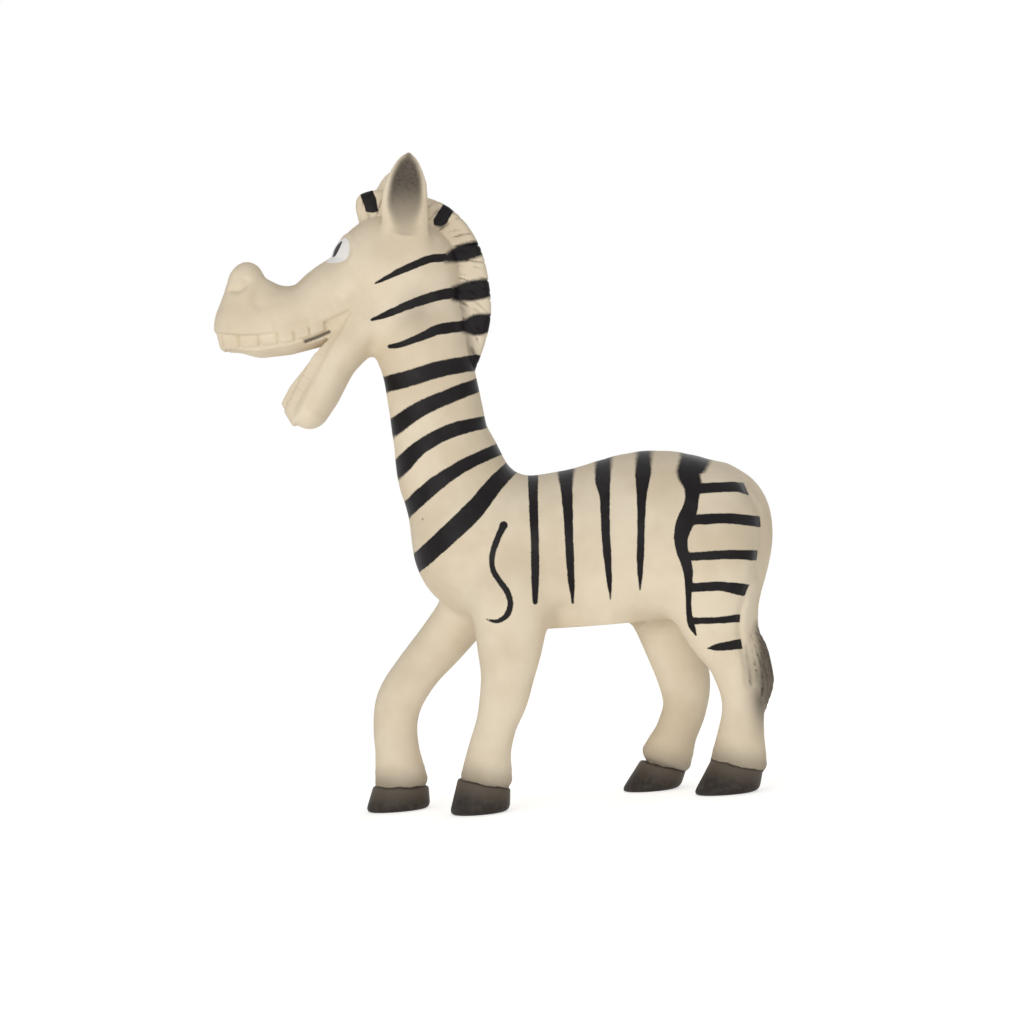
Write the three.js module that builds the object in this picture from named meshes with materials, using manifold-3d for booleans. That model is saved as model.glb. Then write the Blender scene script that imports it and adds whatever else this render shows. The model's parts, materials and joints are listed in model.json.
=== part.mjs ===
// A hollow natural rubber zebra figure: one moulded skin with a squeaker pressed into its belly.
// Millimetres, +Z up. The zebra faces -X and its left side is -Y.

import * as THREE from 'three';
import { triTable } from 'three/addons/objects/MarchingCubes.js';
import { LoftGeometry } from 'three/addons/geometries/LoftGeometry.js';
import { mergeVertices } from 'three/addons/utils/BufferGeometryUtils.js';
import Module from 'manifold-3d';

const wasm = await Module();
wasm.setup();

// Driving sizes of the torso, the neck and the legs
const BELLY_HEIGHT = 53;
const TORSO_LENGTH = 72;
const TORSO_DEPTH = 50;
const TORSO_WIDTH = 44;
const CHEST_CAP = 9.3;
const NECK_CAP = 13.5;
const RUMP_CAP = 16.5;
const NECK_HEIGHT = 76;
const NECK_LEAN = 12;
const NECK_DEPTH = 27;
const NECK_WIDTH = 22;
const HIP_RISE = 9;
const STANCE = 26;
const LEG_DEPTH = 14;
const LEG_WIDTH = 14;
const BODY_FILLET = 7;
const THROAT_FILLET = 3.5;

// Driving sizes of the hooves
const HOOF_HEIGHT = 12.9;
const HOOF_LENGTH = 18;
const HOOF_WIDTH = 17;
const HOOF_RIM = 0.8;
const HOOF_LEDGE = 0.6;
const HOOF_SIDES = 18;

// Driving sizes of the head and the jaw
const HEAD_LENGTH = 60;
const HEAD_DEPTH = 38;
const HEAD_WIDTH = 27;
const CRANIUM_CAP = 11.8;
const MUZZLE_CAP = 9.9;
const NOSE_DEPTH = 17.2;
const NOSE_WIDTH = 10.5;
const NOSE_SPREAD = 7.6;
const NOSE_FILLET = 8;
const JAW_LENGTH = 38.5;
const JAW_DEPTH = 14;
const JAW_WIDTH = 19;
const JAW_CAP = 5;
const HEAD_FILLET = 4;
const GAPE_ANGLE = THREE.MathUtils.degToRad(57.2);
const LIP_ANGLE = THREE.MathUtils.degToRad(5.1);

// Driving sizes of the teeth
const UPPER_ARCH_LENGTH = 42.4;
const UPPER_ARCH_WIDTH = 20.5;
const UPPER_TOOTH_HEIGHT = 8.2;
const LOWER_ARCH_LENGTH = 39.4;
const LOWER_ARCH_WIDTH = 17.4;
const LOWER_TOOTH_HEIGHT = 6.4;
const TOOTH_THICKNESS = 2.6;
const TOOTH_GAP = 0.4;
const TOOTH_ROUND = 0.8;
const TOOTH_ROOT = 2.5;
const GUM_INSET = 1;
const GUM_DROP = 0.4;

// Driving sizes of the ears, the mane and the tail
const EAR_LENGTH = 25.8;
const EAR_WIDTH = 13;
const EAR_THICKNESS = 5;
const EAR_HOLLOW = 3;
const EAR_SPREAD = 19;
const EAR_SPLAY = THREE.MathUtils.degToRad(7);
const MANE_THICKNESS = 6.8;
const MANE_ROUND = 2;
const TAIL_DEPTH = 6;
const TUFT_DEPTH = 10;
const TAIL_FILLET = 2.5;

// The wall of the hollow, the size of the facets, and how far a cut or a join runs past a face
const WALL = 2.6;
const BODY_FACET = 4.8;
const HEAD_FACET = 3.1;
const HOLLOW_FACET = 7;
const OVERRUN = 6;

// Driving sizes of the squeaker
const CLEARANCE = 0.3;
const PAD_RADIUS = 13;
const PAD_PROUD = 0.4;
const BOSS_WALL = 4.6;
const CUP_RADIUS = 8.4;
const CUP_DEPTH = 8.6;
const CUP_WALL = 1;
const CUP_FLOOR = 1.2;
const FLANGE_RADIUS = 10.6;
const FLANGE_THICKNESS = 1.2;
const LEDGE_WIDTH = 0.8;
const CHAMBER_HEIGHT = 1.8;
const PLATE_THICKNESS = 1;
const SLOT_WIDTH = 3.8;
const REED_LENGTH = 10.4;
const REED_WIDTH = 3;
const REED_THICKNESS = 0.3;
const REED_ROOT = 2.6;
const RIVET_RADIUS = 0.6;
const RIVET_HEAD_RADIUS = 1.3;
const RIVET_HEAD_HEIGHT = 0.5;
const CAP_THICKNESS = 1.1;
const AIR_HOLE_RADIUS = 0.75;
const AIR_HOLE_RING = 4.6;
const AIR_HOLES = 6;
const ROUND_SIDES = 32;
const HOLE_SIDES = 10;

const at = (x, y, z) => new THREE.Vector3(x, y, z);

// Solids that can be joined and cut
function solidOf(geometry) {
  const plain = geometry.index ? geometry.toNonIndexed() : geometry.clone();
  plain.deleteAttribute('normal');
  plain.deleteAttribute('uv');
  const merged = mergeVertices(plain);
  const triVerts = [];
  for (let i = 0; i < merged.index.count; i += 3) {
    const facet = [0, 1, 2].map((n) => merged.index.getX(i + n));
    // a revolved outline has empty facets where it meets the axis
    if (new Set(facet).size === facet.length) triVerts.push(...facet);
  }
  return facetedSolid(merged.attributes.position.array, triVerts);
}

const facetedSolid = (positions, triVerts) => new wasm.Manifold(new wasm.Mesh({
  numProp: 3,
  vertProperties: new Float32Array(positions),
  triVerts: new Uint32Array(triVerts),
}));

function geometryOf(solid) {
  const mesh = solid.getMesh();
  const geometry = new THREE.BufferGeometry();
  geometry.setAttribute('position', new THREE.BufferAttribute(new Float32Array(mesh.vertProperties), mesh.numProp));
  geometry.setIndex(new THREE.BufferAttribute(new Uint32Array(mesh.triVerts), 1));
  geometry.computeVertexNormals();
  return geometry;
}

const joinAll = (solids) => solids.reduce((sum, solid) => sum.add(solid));
const cutAll = (solid, tools) => tools.reduce((rest, tool) => rest.subtract(tool), solid);

// Smooth forms give the distance to their surface, negative inside. A limb is a chain of elliptical
// stations along a spine: centre x, y, z, half-depth in the XZ plane and half-width across it.
const SPANS_PER_STATION = 4;

function limb(stations, capStart, capEnd) {
  const spine = new THREE.CatmullRomCurve3(stations.map((s) => at(s.x, s.y, s.z)));
  const sizes = new THREE.CatmullRomCurve3(stations.map((s) => at(s.depth, s.width, 0)));
  const spans = (stations.length - 1) * SPANS_PER_STATION;
  const halves = sizes.getPoints(spans);
  const knots = spine.getPoints(spans).map(({ x, y, z }, i) => ({ x, y, z, depth: halves[i].x, width: halves[i].y }));
  return (x, y, z) => {
    let nearest = Infinity;
    for (let i = 0; i < spans; i++) {
      const a = knots[i];
      const b = knots[i + 1];
      const dx = b.x - a.x;
      const dz = b.z - a.z;
      const length = Math.hypot(dx, dz);
      const along = ((x - a.x) * dx + (z - a.z) * dz) / (length * length);
      const t = Math.min(Math.max(along, 0), 1);
      const depth = a.depth + (b.depth - a.depth) * t;
      const width = a.width + (b.width - a.width) * t;
      const past = (along - t) * length;
      const side = ((x - a.x) * dz - (z - a.z) * dx) / length;
      const across = y - a.y - (b.y - a.y) * t;
      let cap = depth;
      if (i === 0 && past < 0) cap = capStart;
      if (i === spans - 1 && past > 0) cap = capEnd;
      nearest = Math.min(nearest, ellipsoidDistance(side, across, past, depth, width, cap));
    }
    return nearest;
  };
}

function ellipsoidDistance(u, v, w, a, b, c) {
  const near = Math.hypot(u / a, v / b, w / c);
  const slope = Math.hypot(u / (a * a), v / (b * b), w / (c * c));
  return slope > 0 ? (near * (near - 1)) / slope : -Math.min(a, b, c);
}

const ellipsoid = (centre, radii) => (x, y, z) =>
  ellipsoidDistance(x - centre.x, y - centre.y, z - centre.z, radii.x, radii.y, radii.z);

const blend = (forms, fillet) => (x, y, z) => {
  let sum = Infinity;
  for (const form of forms) {
    const next = form(x, y, z);
    const overlap = Math.max(fillet - Math.abs(sum - next), 0) / fillet;
    sum = Math.min(sum, next) - (overlap * overlap * fillet) / 4;
  }
  return sum;
};

const shrink = (form, wall) => (x, y, z) => form(x, y, z) + wall;

// The skin of a smooth form: one corner in each grid cell that the surface passes through, pulled onto
// the surface, and one four-sided facet round each grid edge that it crosses.
const CELL_CORNERS = [
  [0, 0, 0], [1, 0, 0], [1, 1, 0], [0, 1, 0], [0, 0, 1], [1, 0, 1], [1, 1, 1], [0, 1, 1],
];
const CELL_EDGES = [
  [0, 1], [1, 2], [2, 3], [3, 0], [4, 5], [5, 6], [6, 7], [7, 4], [0, 4], [1, 5], [2, 6], [3, 7],
];
// for a grid edge along each axis: the cells round it, as steps back, and the edge's number in each
const CELLS_ROUND_EDGE = [
  { step: [1, 0, 0], cells: [[0, 0, 0, 0], [0, 1, 0, 2], [0, 1, 1, 6], [0, 0, 1, 4]] },
  { step: [0, 1, 0], cells: [[0, 0, 0, 3], [0, 0, 1, 7], [1, 0, 1, 5], [1, 0, 0, 1]] },
  { step: [0, 0, 1], cells: [[0, 0, 0, 8], [1, 0, 0, 9], [1, 1, 0, 10], [0, 1, 0, 11]] },
];
const PULLS = 3;
const SLOPE_STEP = 0.01;
const CELL_MARGIN_SHARE = 0.04;

// The cell edges that each separate piece of surface crosses, for every pattern of inside corners
const PATTERNS = 2 ** CELL_CORNERS.length;
const PATCHES = Array.from({ length: PATTERNS }, (_, pattern) => {
  const patches = [];
  for (let i = (pattern * triTable.length) / PATTERNS; triTable[i] >= 0; i += 3) {
    let patch = new Set([triTable[i], triTable[i + 1], triTable[i + 2]]);
    for (let j = patches.length - 1; j >= 0; j--) {
      if ([...patches[j]].some((edge) => patch.has(edge))) {
        patch = new Set([...patch, ...patches.splice(j, 1)[0]]);
      }
    }
    patches.push(patch);
  }
  return patches.map((patch) => [...patch]);
});

function skinOf(form, xs, ys, zs) {
  const place = (i, j, k) => i + (j + k * ys.length) * xs.length;
  const value = new Float64Array(xs.length * ys.length * zs.length);
  zs.forEach((z, k) => ys.forEach((y, j) => xs.forEach((x, i) => {
    value[place(i, j, k)] = form(x, y, z) || Number.EPSILON;
  })));

  const points = [];
  const cornerOn = new Map();
  for (let k = 0; k < zs.length - 1; k++) {
    for (let j = 0; j < ys.length - 1; j++) {
      for (let i = 0; i < xs.length - 1; i++) {
        const low = at(xs[i], ys[j], zs[k]);
        const size = at(xs[i + 1], ys[j + 1], zs[k + 1]).sub(low);
        const values = CELL_CORNERS.map(([a, b, c]) => value[place(i + a, j + b, k + c)]);
        const pattern = values.reduce((bits, v, n) => (v < 0 ? bits | (1 << n) : bits), 0);
        for (const patch of PATCHES[pattern]) {
          const point = at(0, 0, 0);
          for (const edge of patch) {
            const [from, to] = CELL_EDGES[edge];
            const share = values[from] / (values[from] - values[to]);
            const crossing = at(...CELL_CORNERS[from]).lerp(at(...CELL_CORNERS[to]), share);
            point.add(crossing.multiply(size).add(low).divideScalar(patch.length));
          }
          patch.forEach((edge) => cornerOn.set(place(i, j, k) * CELL_EDGES.length + edge, points.length));
          points.push(settle(form, point, low, size));
        }
      }
    }
  }

  const facets = [];
  for (let k = 1; k < zs.length - 1; k++) {
    for (let j = 1; j < ys.length - 1; j++) {
      for (let i = 1; i < xs.length - 1; i++) {
        const inside = value[place(i, j, k)] < 0;
        for (const { step, cells } of CELLS_ROUND_EDGE) {
          if (inside === value[place(i + step[0], j + step[1], k + step[2])] < 0) continue;
          const corners = cells.map(([a, b, c, edge]) =>
            cornerOn.get(place(i - a, j - b, k - c) * CELL_EDGES.length + edge));
          facets.push(...halvesOf(points, inside ? corners : corners.reverse()));
        }
      }
    }
  }
  return facetedSolid(points.flatMap((point) => point.toArray()), facets);
}

// Moves a point onto the surface, as far as it stays inside the margins of its cell
function settle(form, point, low, size) {
  const margin = size.clone().multiplyScalar(CELL_MARGIN_SHARE);
  const least = low.clone().add(margin);
  const most = low.clone().add(size).sub(margin);
  const start = point.clone().clamp(least, most);
  const way = pulledOnto(form, start).sub(start);
  const room = ['x', 'y', 'z'].map((axis) => {
    const limit = way[axis] > 0 ? most[axis] : least[axis];
    return way[axis] === 0 ? 1 : (limit - start[axis]) / way[axis];
  });
  return start.addScaledVector(way, Math.min(1, ...room));
}

function pulledOnto(form, start) {
  const point = start.clone();
  for (let pull = 0; pull < PULLS; pull++) {
    const { x, y, z } = point;
    const slope = at(
      form(x + SLOPE_STEP, y, z) - form(x - SLOPE_STEP, y, z),
      form(x, y + SLOPE_STEP, z) - form(x, y - SLOPE_STEP, z),
      form(x, y, z + SLOPE_STEP) - form(x, y, z - SLOPE_STEP),
    ).divideScalar(2 * SLOPE_STEP);
    if (slope.lengthSq() > 0) point.addScaledVector(slope, -form(x, y, z) / slope.lengthSq());
  }
  return point;
}

// A facet with four corners is split along its shorter diagonal
function halvesOf(points, [a, b, c, d]) {
  const acrossFirst = points[a].distanceTo(points[c]) <= points[b].distanceTo(points[d]);
  return acrossFirst ? [a, b, c, a, c, d] : [b, c, d, b, d, a];
}

function gridLines(from, to, facet) {
  const count = Math.ceil((to - from) / facet);
  return Array.from({ length: count + 1 }, (_, i) => THREE.MathUtils.lerp(from, to, i / count));
}

// The torso. Each row of shares: along its length, up its depth, half-depth and half-width.
const TORSO_SHARES = [
  [0, 0.53, 0.41, 0.386],
  [0.25, 0.47, 0.455, 0.455],
  [0.5, 0.476, 0.478, 0.5],
  [0.77, 0.505, 0.521, 0.5],
  [1, 0.48, 0.438, 0.455],
];
const torsoX = (share) => (share - 0.5) * TORSO_LENGTH;
const torsoZ = (share) => BELLY_HEIGHT + share * TORSO_DEPTH;

function torsoForm() {
  const stations = TORSO_SHARES.map(([along, up, depth, width]) => ({
    x: torsoX(along), y: 0, z: torsoZ(up), depth: depth * TORSO_DEPTH, width: width * TORSO_WIDTH,
  }));
  return limb(stations, CHEST_CAP, RUMP_CAP);
}

// The neck. Each row of shares: up its height, forward along its lean, half-depth and half-width.
const NECK_BASE_SHARES = { along: 0.014, up: 0.62 };
const NECK_SHARES = [
  [0, -0.1, 0.585, 0.7],
  [0.224, 0.39, 0.615, 0.59],
  [0.368, 0.58, 0.538, 0.523],
  [0.507, 0.67, 0.522, 0.477],
  [0.658, 0.775, 0.52, 0.477],
  [0.842, 1, 0.545, 0.545],
  [1, 1.1, 0.5, 0.568],
];
const neckX = (lean) => torsoX(NECK_BASE_SHARES.along) - lean * NECK_LEAN;
const neckZ = (up) => torsoZ(NECK_BASE_SHARES.up) + up * NECK_HEIGHT;
const POLL = at(neckX(1), 0, neckZ(1));

function neckForm() {
  const stations = NECK_SHARES.map(([up, lean, depth, width]) => ({
    x: neckX(lean), y: 0, z: neckZ(up), depth: depth * NECK_DEPTH, width: width * NECK_WIDTH,
  }));
  return limb(stations, NECK_CAP, stations.at(-1).depth);
}

// The head, from the poll to the muzzle. Each row of shares: forward and up from the poll in head
// lengths, half-depth and half-width.
const HEAD_SHARES = [
  [0, 0.06, 0.42, 0.46],
  [0.117, 0.078, 0.452, 0.5],
  [0.25, 0.02, 0.288, 0.48],
  [0.383, -0.034, 0.33, 0.444],
  [0.55, -0.108, 0.249, 0.407],
  [0.717, -0.142, 0.262, 0.407],
  [0.86, -0.155, 0.24, 0.4],
];
const NOSE_SHARES = { forward: 0.838, up: 0.028, length: 0.343 };
const headX = (forward) => POLL.x - forward * HEAD_LENGTH;
const headZ = (up) => POLL.z + up * HEAD_LENGTH;

function headForm() {
  const stations = HEAD_SHARES.map(([forward, up, depth, width]) => ({
    x: headX(forward), y: 0, z: headZ(up), depth: depth * HEAD_DEPTH, width: width * HEAD_WIDTH,
  }));
  const nostrils = [-1, 1].map((side) => ellipsoid(
    at(headX(NOSE_SHARES.forward), (side * NOSE_SPREAD) / 2, headZ(NOSE_SHARES.up)),
    at(NOSE_SHARES.length * NOSE_DEPTH, NOSE_WIDTH / 2, NOSE_DEPTH / 2),
  ));
  const muzzle = blend([limb(stations, CRANIUM_CAP, MUZZLE_CAP), blend(nostrils, HEAD_FILLET)], NOSE_FILLET);
  return blend([muzzle, jawForm()], HEAD_FILLET);
}

// The mouth opens from its corner. The upper lip runs forward as a shallow curve and the lower lip
// straight down the jaw.
const MOUTH_CORNER_SHARES = { forward: 0.31, up: -0.118 };
const MOUTH_CORNER = at(headX(MOUTH_CORNER_SHARES.forward), 0, headZ(MOUTH_CORNER_SHARES.up));
const UPPER_LIP_SHARES = [
  [0.138, -0.05], [0.267, -0.092], [0.417, -0.095], [0.567, -0.09], [0.685, -0.062], [0.8, -0.02],
];
// Each row of shares: along the jaw, below the lip line in jaw depths, half-depth and half-width
const JAW_SHARES = [
  [-0.034, 0.42, 0.53, 0.6],
  [0.18, 0.27, 0.51, 0.53],
  [0.415, 0.165, 0.455, 0.505],
  [0.672, 0.175, 0.455, 0.49],
  [0.87, 0.165, 0.43, 0.46],
];
// A point at a distance along the lower lip from the corner, and below it
const jawPoint = (along, below) => at(
  MOUTH_CORNER.x - along * Math.cos(GAPE_ANGLE) + below * Math.sin(GAPE_ANGLE),
  0,
  MOUTH_CORNER.z - along * Math.sin(GAPE_ANGLE) - below * Math.cos(GAPE_ANGLE),
);

function jawForm() {
  const stations = JAW_SHARES.map(([along, below, depth, width]) => {
    const { x, y, z } = jawPoint(along * JAW_LENGTH, below * JAW_DEPTH);
    return { x, y, z, depth: depth * JAW_DEPTH, width: width * JAW_WIDTH };
  });
  return limb(stations, stations[0].depth, JAW_CAP);
}

// The legs. Each leg has its side, its hip's place along the torso, and rows of shares: up its height,
// back from the hip in leg heights, half-depth and half-width. Its hoof has the places of its sole and
// its top back from the hip in leg heights, and its height and lengths.
const LEG_HEIGHT = BELLY_HEIGHT + HIP_RISE;
const LEG_SHARES = {
  left_fore: {
    side: -1,
    hip: 0.153,
    rows: [
      [1, 0, 0.86, 0.66], [0.79, -0.022, 0.7, 0.58], [0.645, -0.044, 0.57, 0.5], [0.532, -0.072, 0.515, 0.45],
      [0.403, -0.12, 0.435, 0.4], [0.29, -0.158, 0.46, 0.43], [0.19, -0.174, 0.53, 0.5],
    ],
    hoof: { sole: -0.228, top: -0.193, height: 1, soleLength: 0.485, topLength: 0.43 },
  },
  right_fore: {
    side: 1,
    hip: -0.056,
    rows: [
      [1, 0.03, 0.66, 0.6], [0.815, -0.112, 0.56, 0.55], [0.677, -0.24, 0.505, 0.48], [0.54, -0.337, 0.51, 0.45],
      [0.42, -0.366, 0.485, 0.44], [0.306, -0.366, 0.485, 0.46], [0.145, -0.357, 0.58, 0.5],
    ],
    hoof: { sole: -0.385, top: -0.363, height: 0.66, soleLength: 0.54, topLength: 0.47 },
  },
  left_hind: {
    side: -1,
    hip: 0.972,
    rows: [
      [1.065, 0, 1.07, 0.72], [0.806, 0.042, 0.72, 0.6], [0.637, 0.09, 0.53, 0.5], [0.468, 0.127, 0.465, 0.45],
      [0.371, 0.12, 0.45, 0.44], [0.258, 0.1, 0.505, 0.46], [0.145, 0.082, 0.6, 0.5],
    ],
    hoof: { sole: 0.008, top: 0.072, height: 0.705, soleLength: 0.535, topLength: 0.46 },
  },
  right_hind: {
    side: 1,
    hip: 0.778,
    rows: [
      [1, 0, 0.87, 0.72], [0.726, 0.075, 0.66, 0.6], [0.532, 0.128, 0.57, 0.5], [0.403, 0.12, 0.495, 0.45],
      [0.282, 0.07, 0.47, 0.46], [0.161, 0.011, 0.565, 0.5],
    ],
    hoof: { sole: -0.089, top: -0.017, height: 0.674, soleLength: 0.5, topLength: 0.44 },
  },
};
const CORONET_TILT_SHARE = 0.15;
const HOOF_NECK_SHARE = 0.6;

const legX = (leg, back) => torsoX(leg.hip) + back * LEG_HEIGHT;
const legY = (leg) => (leg.side * STANCE) / 2;

function legForm(leg) {
  const stations = leg.rows.map(([up, back, depth, width]) => ({
    x: legX(leg, back), y: legY(leg), z: up * LEG_HEIGHT, depth: depth * LEG_DEPTH, width: width * LEG_WIDTH,
  }));
  return limb(stations, stations[0].depth, HOOF_HEIGHT / 2);
}

// A hoof flares from its coronet to its sole and carries a narrow ledge where the leg meets it
function hoofSolid(leg) {
  const { sole, top, height, soleLength, topLength } = leg.hoof;
  const rise = height * HOOF_HEIGHT;
  const ring = (back, z, halfLength, halfWidth, tilt) => Array.from({ length: HOOF_SIDES }, (_, i) => {
    const angle = (i / HOOF_SIDES) * 2 * Math.PI;
    const x = halfLength * Math.cos(angle);
    return at(legX(leg, back) + x, legY(leg) + halfWidth * Math.sin(angle), z - tilt * x);
  });
  const soleHalf = soleLength * HOOF_LENGTH;
  const topHalf = topLength * HOOF_LENGTH;
  const topWidth = (topLength / soleLength) * HOOF_WIDTH;
  const tilt = CORONET_TILT_SHARE;
  const neck = HOOF_NECK_SHARE;
  return solidOf(new LoftGeometry([
    ring(sole, 0, soleHalf - HOOF_RIM / 2, (HOOF_WIDTH - HOOF_RIM) / 2, 0),
    ring(sole, HOOF_RIM, soleHalf, HOOF_WIDTH / 2, 0),
    ring(top, rise - HOOF_LEDGE, topHalf, topWidth / 2, tilt),
    ring(top, rise, topHalf - HOOF_LEDGE, topWidth / 2 - HOOF_LEDGE, tilt),
    ring(top, rise + HOOF_LEDGE, topHalf * neck, (topWidth / 2) * neck, tilt),
  ], { capStart: true, capEnd: true }));
}

// The tail lies on the rump and the left hind leg and ends in a tuft. Each row of shares: back from
// the rump and up from the belly in torso depths, across the stance, and half-depth.
const TAIL_SHARES = [
  [0.14, 0.85, 0, 0.5], [0.27, 0.77, 0, 0.5], [0.338, 0.64, -0.04, 0.5], [0.349, 0.48, -0.12, 0.5],
  [0.29, 0.26, -0.22, 0.5], [0.212, 0.06, -0.33, 0.48], [0.184, -0.1, -0.44, 0.46],
];
const TUFT_SHARES = [
  [0.18, -0.1, -0.46, 0.28], [0.205, -0.26, -0.55, 0.42], [0.222, -0.4, -0.56, 0.42], [0.234, -0.56, -0.52, 0.12],
];

function tailForm(shares, size) {
  const stations = shares.map(([back, up, across, half]) => ({
    x: torsoX(1) + back * TORSO_DEPTH, y: across * STANCE, z: torsoZ(up), depth: half * size, width: half * size,
  }));
  return limb(stations, stations[0].depth, stations.at(-1).depth);
}

// An ear is a leaf with its hollow turned outward. Each row of shares: up its length, half-width,
// backward lean in ear lengths and thickness.
const EAR_ROOT_SHARES = { left: -0.008, right: 0.085, up: 0.208 };
const EAR_SHARES = [
  [-0.15, 0.46, -0.05, 1], [0.17, 0.5, -0.045, 1], [0.4, 0.5, -0.035, 0.92], [0.63, 0.44, 0, 0.8],
  [0.85, 0.27, 0.028, 0.58], [1, 0.08, 0.05, 0.32],
];
const EAR_SIDES = 10;

function earSolid(side) {
  const rings = EAR_SHARES.map(([up, half, lean, thick]) => {
    const arc = (depth, from, to) => Array.from({ length: EAR_SIDES }, (_, i) => {
      const angle = THREE.MathUtils.lerp(from, to, i / EAR_SIDES);
      const x = lean * EAR_LENGTH - half * EAR_WIDTH * Math.cos(angle);
      return at(x, side * thick * (EAR_THICKNESS / 2 - depth * Math.sin(angle)), up * EAR_LENGTH);
    });
    const ring = [...arc(EAR_THICKNESS, 0, Math.PI), ...arc(EAR_THICKNESS - EAR_HOLLOW, Math.PI, 0)];
    return side > 0 ? ring : ring.reverse();
  });
  const loft = new LoftGeometry(rings, { capStart: true, capEnd: true }).rotateX(-side * EAR_SPLAY);
  const forward = side > 0 ? EAR_ROOT_SHARES.right : EAR_ROOT_SHARES.left;
  return solidOf(loft.translate(headX(forward), (side * EAR_SPREAD) / 2, headZ(EAR_ROOT_SHARES.up)));
}

// The mane is an upright crest from the forelock over the poll and down the neck. Shares are forward
// and up from the poll in neck heights: its outer edge, and its root inside the head and neck.
const MANE_EDGE_SHARES = [
  [0.195, 0.259], [0.207, 0.33], [0.192, 0.375], [0.12, 0.393], [0.01, 0.375], [-0.083, 0.347],
  [-0.162, 0.307], [-0.238, 0.222], [-0.288, 0.105], [-0.306, -0.039], [-0.303, -0.139], [-0.284, -0.217],
  [-0.247, -0.308], [-0.22, -0.363],
];
const MANE_ROOT_SHARES = [[-0.1, -0.395], [-0.07, -0.15], [0.02, 0.06], [0.12, 0.2]];
const MANE_EDGE_STEPS = 30;

// A flat outline in the XZ plane, as a plate of the given thickness centred on y = 0
function plate(outline, thickness, round) {
  const bevel = { bevelThickness: round, bevelSize: round, bevelOffset: -round, bevelSegments: 2 };
  const depth = thickness - 2 * round;
  const options = round > 0 ? { depth, bevelEnabled: true, ...bevel } : { depth, bevelEnabled: false };
  const geometry = new THREE.ExtrudeGeometry(new THREE.Shape(outline), options);
  return solidOf(geometry.rotateX(Math.PI / 2).translate(0, depth / 2, 0));
}

function maneSolid() {
  const point = ([forward, up]) =>
    new THREE.Vector2(POLL.x - forward * NECK_HEIGHT, POLL.z + up * NECK_HEIGHT);
  const edge = new THREE.SplineCurve(MANE_EDGE_SHARES.map(point)).getPoints(MANE_EDGE_STEPS);
  return plate([...edge, ...MANE_ROOT_SHARES.map(point)], MANE_THICKNESS, MANE_ROUND);
}

// The wedge that the open mouth cuts out of the head
function mouthSolid() {
  const corner = new THREE.Vector2(MOUTH_CORNER.x, MOUTH_CORNER.z);
  const lip = UPPER_LIP_SHARES.map(([forward, up]) =>
    new THREE.Vector2(corner.x - forward * HEAD_LENGTH, corner.y + up * HEAD_LENGTH));
  const curve = new THREE.SplineCurve([corner, ...lip]).getPoints(2 * lip.length);
  const below = jawPoint(JAW_LENGTH + OVERRUN, 0);
  return plate([...curve, new THREE.Vector2(lip.at(-1).x, below.z), new THREE.Vector2(below.x, below.z)],
    HEAD_WIDTH + OVERRUN, 0);
}

// A row of teeth round a gum, made lying down: x forward from the mouth corner, z out of the gum. Shares
// of its height at the tips run from the corner to the front, and shares of half the row give the width
// of each tooth from the middle back. Its outer face leans in by the slope.
const ARCH_ROUNDING_SHARE = 0.667;
const ARCH_STEPS = 40;
const ARCH_NARROW_SHARES = { corner: 0.74, open: 0.36 };
const UPPER_TIP_SHARES = [0.25, 0.7, 0.84, 0.8, 0.68];
const LOWER_TIP_SHARES = [0.12, 0.26, 0.66, 0.93, 0.95];
const UPPER_WIDTH_SHARES = [0.07, 0.125, 0.133, 0.12, 0.112, 0.094, 0.106];
const LOWER_WIDTH_SHARES = [0.09, 0.11, 0.1, 0.1, 0.1, 0.1, 0.1, 0.1, 0.1];
const UPPER_SLOPE_SHARE = 0.08;
const LOWER_SLOPE_SHARE = 0.6;
const UPPER_ARCH = {
  length: UPPER_ARCH_LENGTH,
  width: UPPER_ARCH_WIDTH,
  height: UPPER_TOOTH_HEIGHT,
  slope: UPPER_SLOPE_SHARE,
  tips: UPPER_TIP_SHARES,
  widths: UPPER_WIDTH_SHARES,
};
const LOWER_ARCH = {
  length: LOWER_ARCH_LENGTH,
  width: LOWER_ARCH_WIDTH,
  height: LOWER_TOOTH_HEIGHT,
  slope: LOWER_SLOPE_SHARE,
  tips: LOWER_TIP_SHARES,
  widths: LOWER_WIDTH_SHARES,
};

function archPoints(length, width, z) {
  const round = (value) => Math.sign(value) * Math.abs(value) ** ARCH_ROUNDING_SHARE;
  return Array.from({ length: ARCH_STEPS + 1 }, (_, i) => {
    const angle = (i / ARCH_STEPS - 0.5) * Math.PI;
    const forward = round(Math.cos(angle));
    const narrow = THREE.MathUtils.mapLinear(forward, 0, ARCH_NARROW_SHARES.open, ARCH_NARROW_SHARES.corner, 1);
    return at(length * forward, (width / 2) * round(Math.sin(angle)) * Math.min(narrow, 1), z);
  });
}

function tipHeight(arch, x) {
  const place = THREE.MathUtils.clamp(x / arch.length, 0, 1) * (arch.tips.length - 1);
  const i = Math.min(Math.floor(place), arch.tips.length - 2);
  return arch.height * THREE.MathUtils.lerp(arch.tips[i], arch.tips[i + 1], place - i);
}

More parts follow.
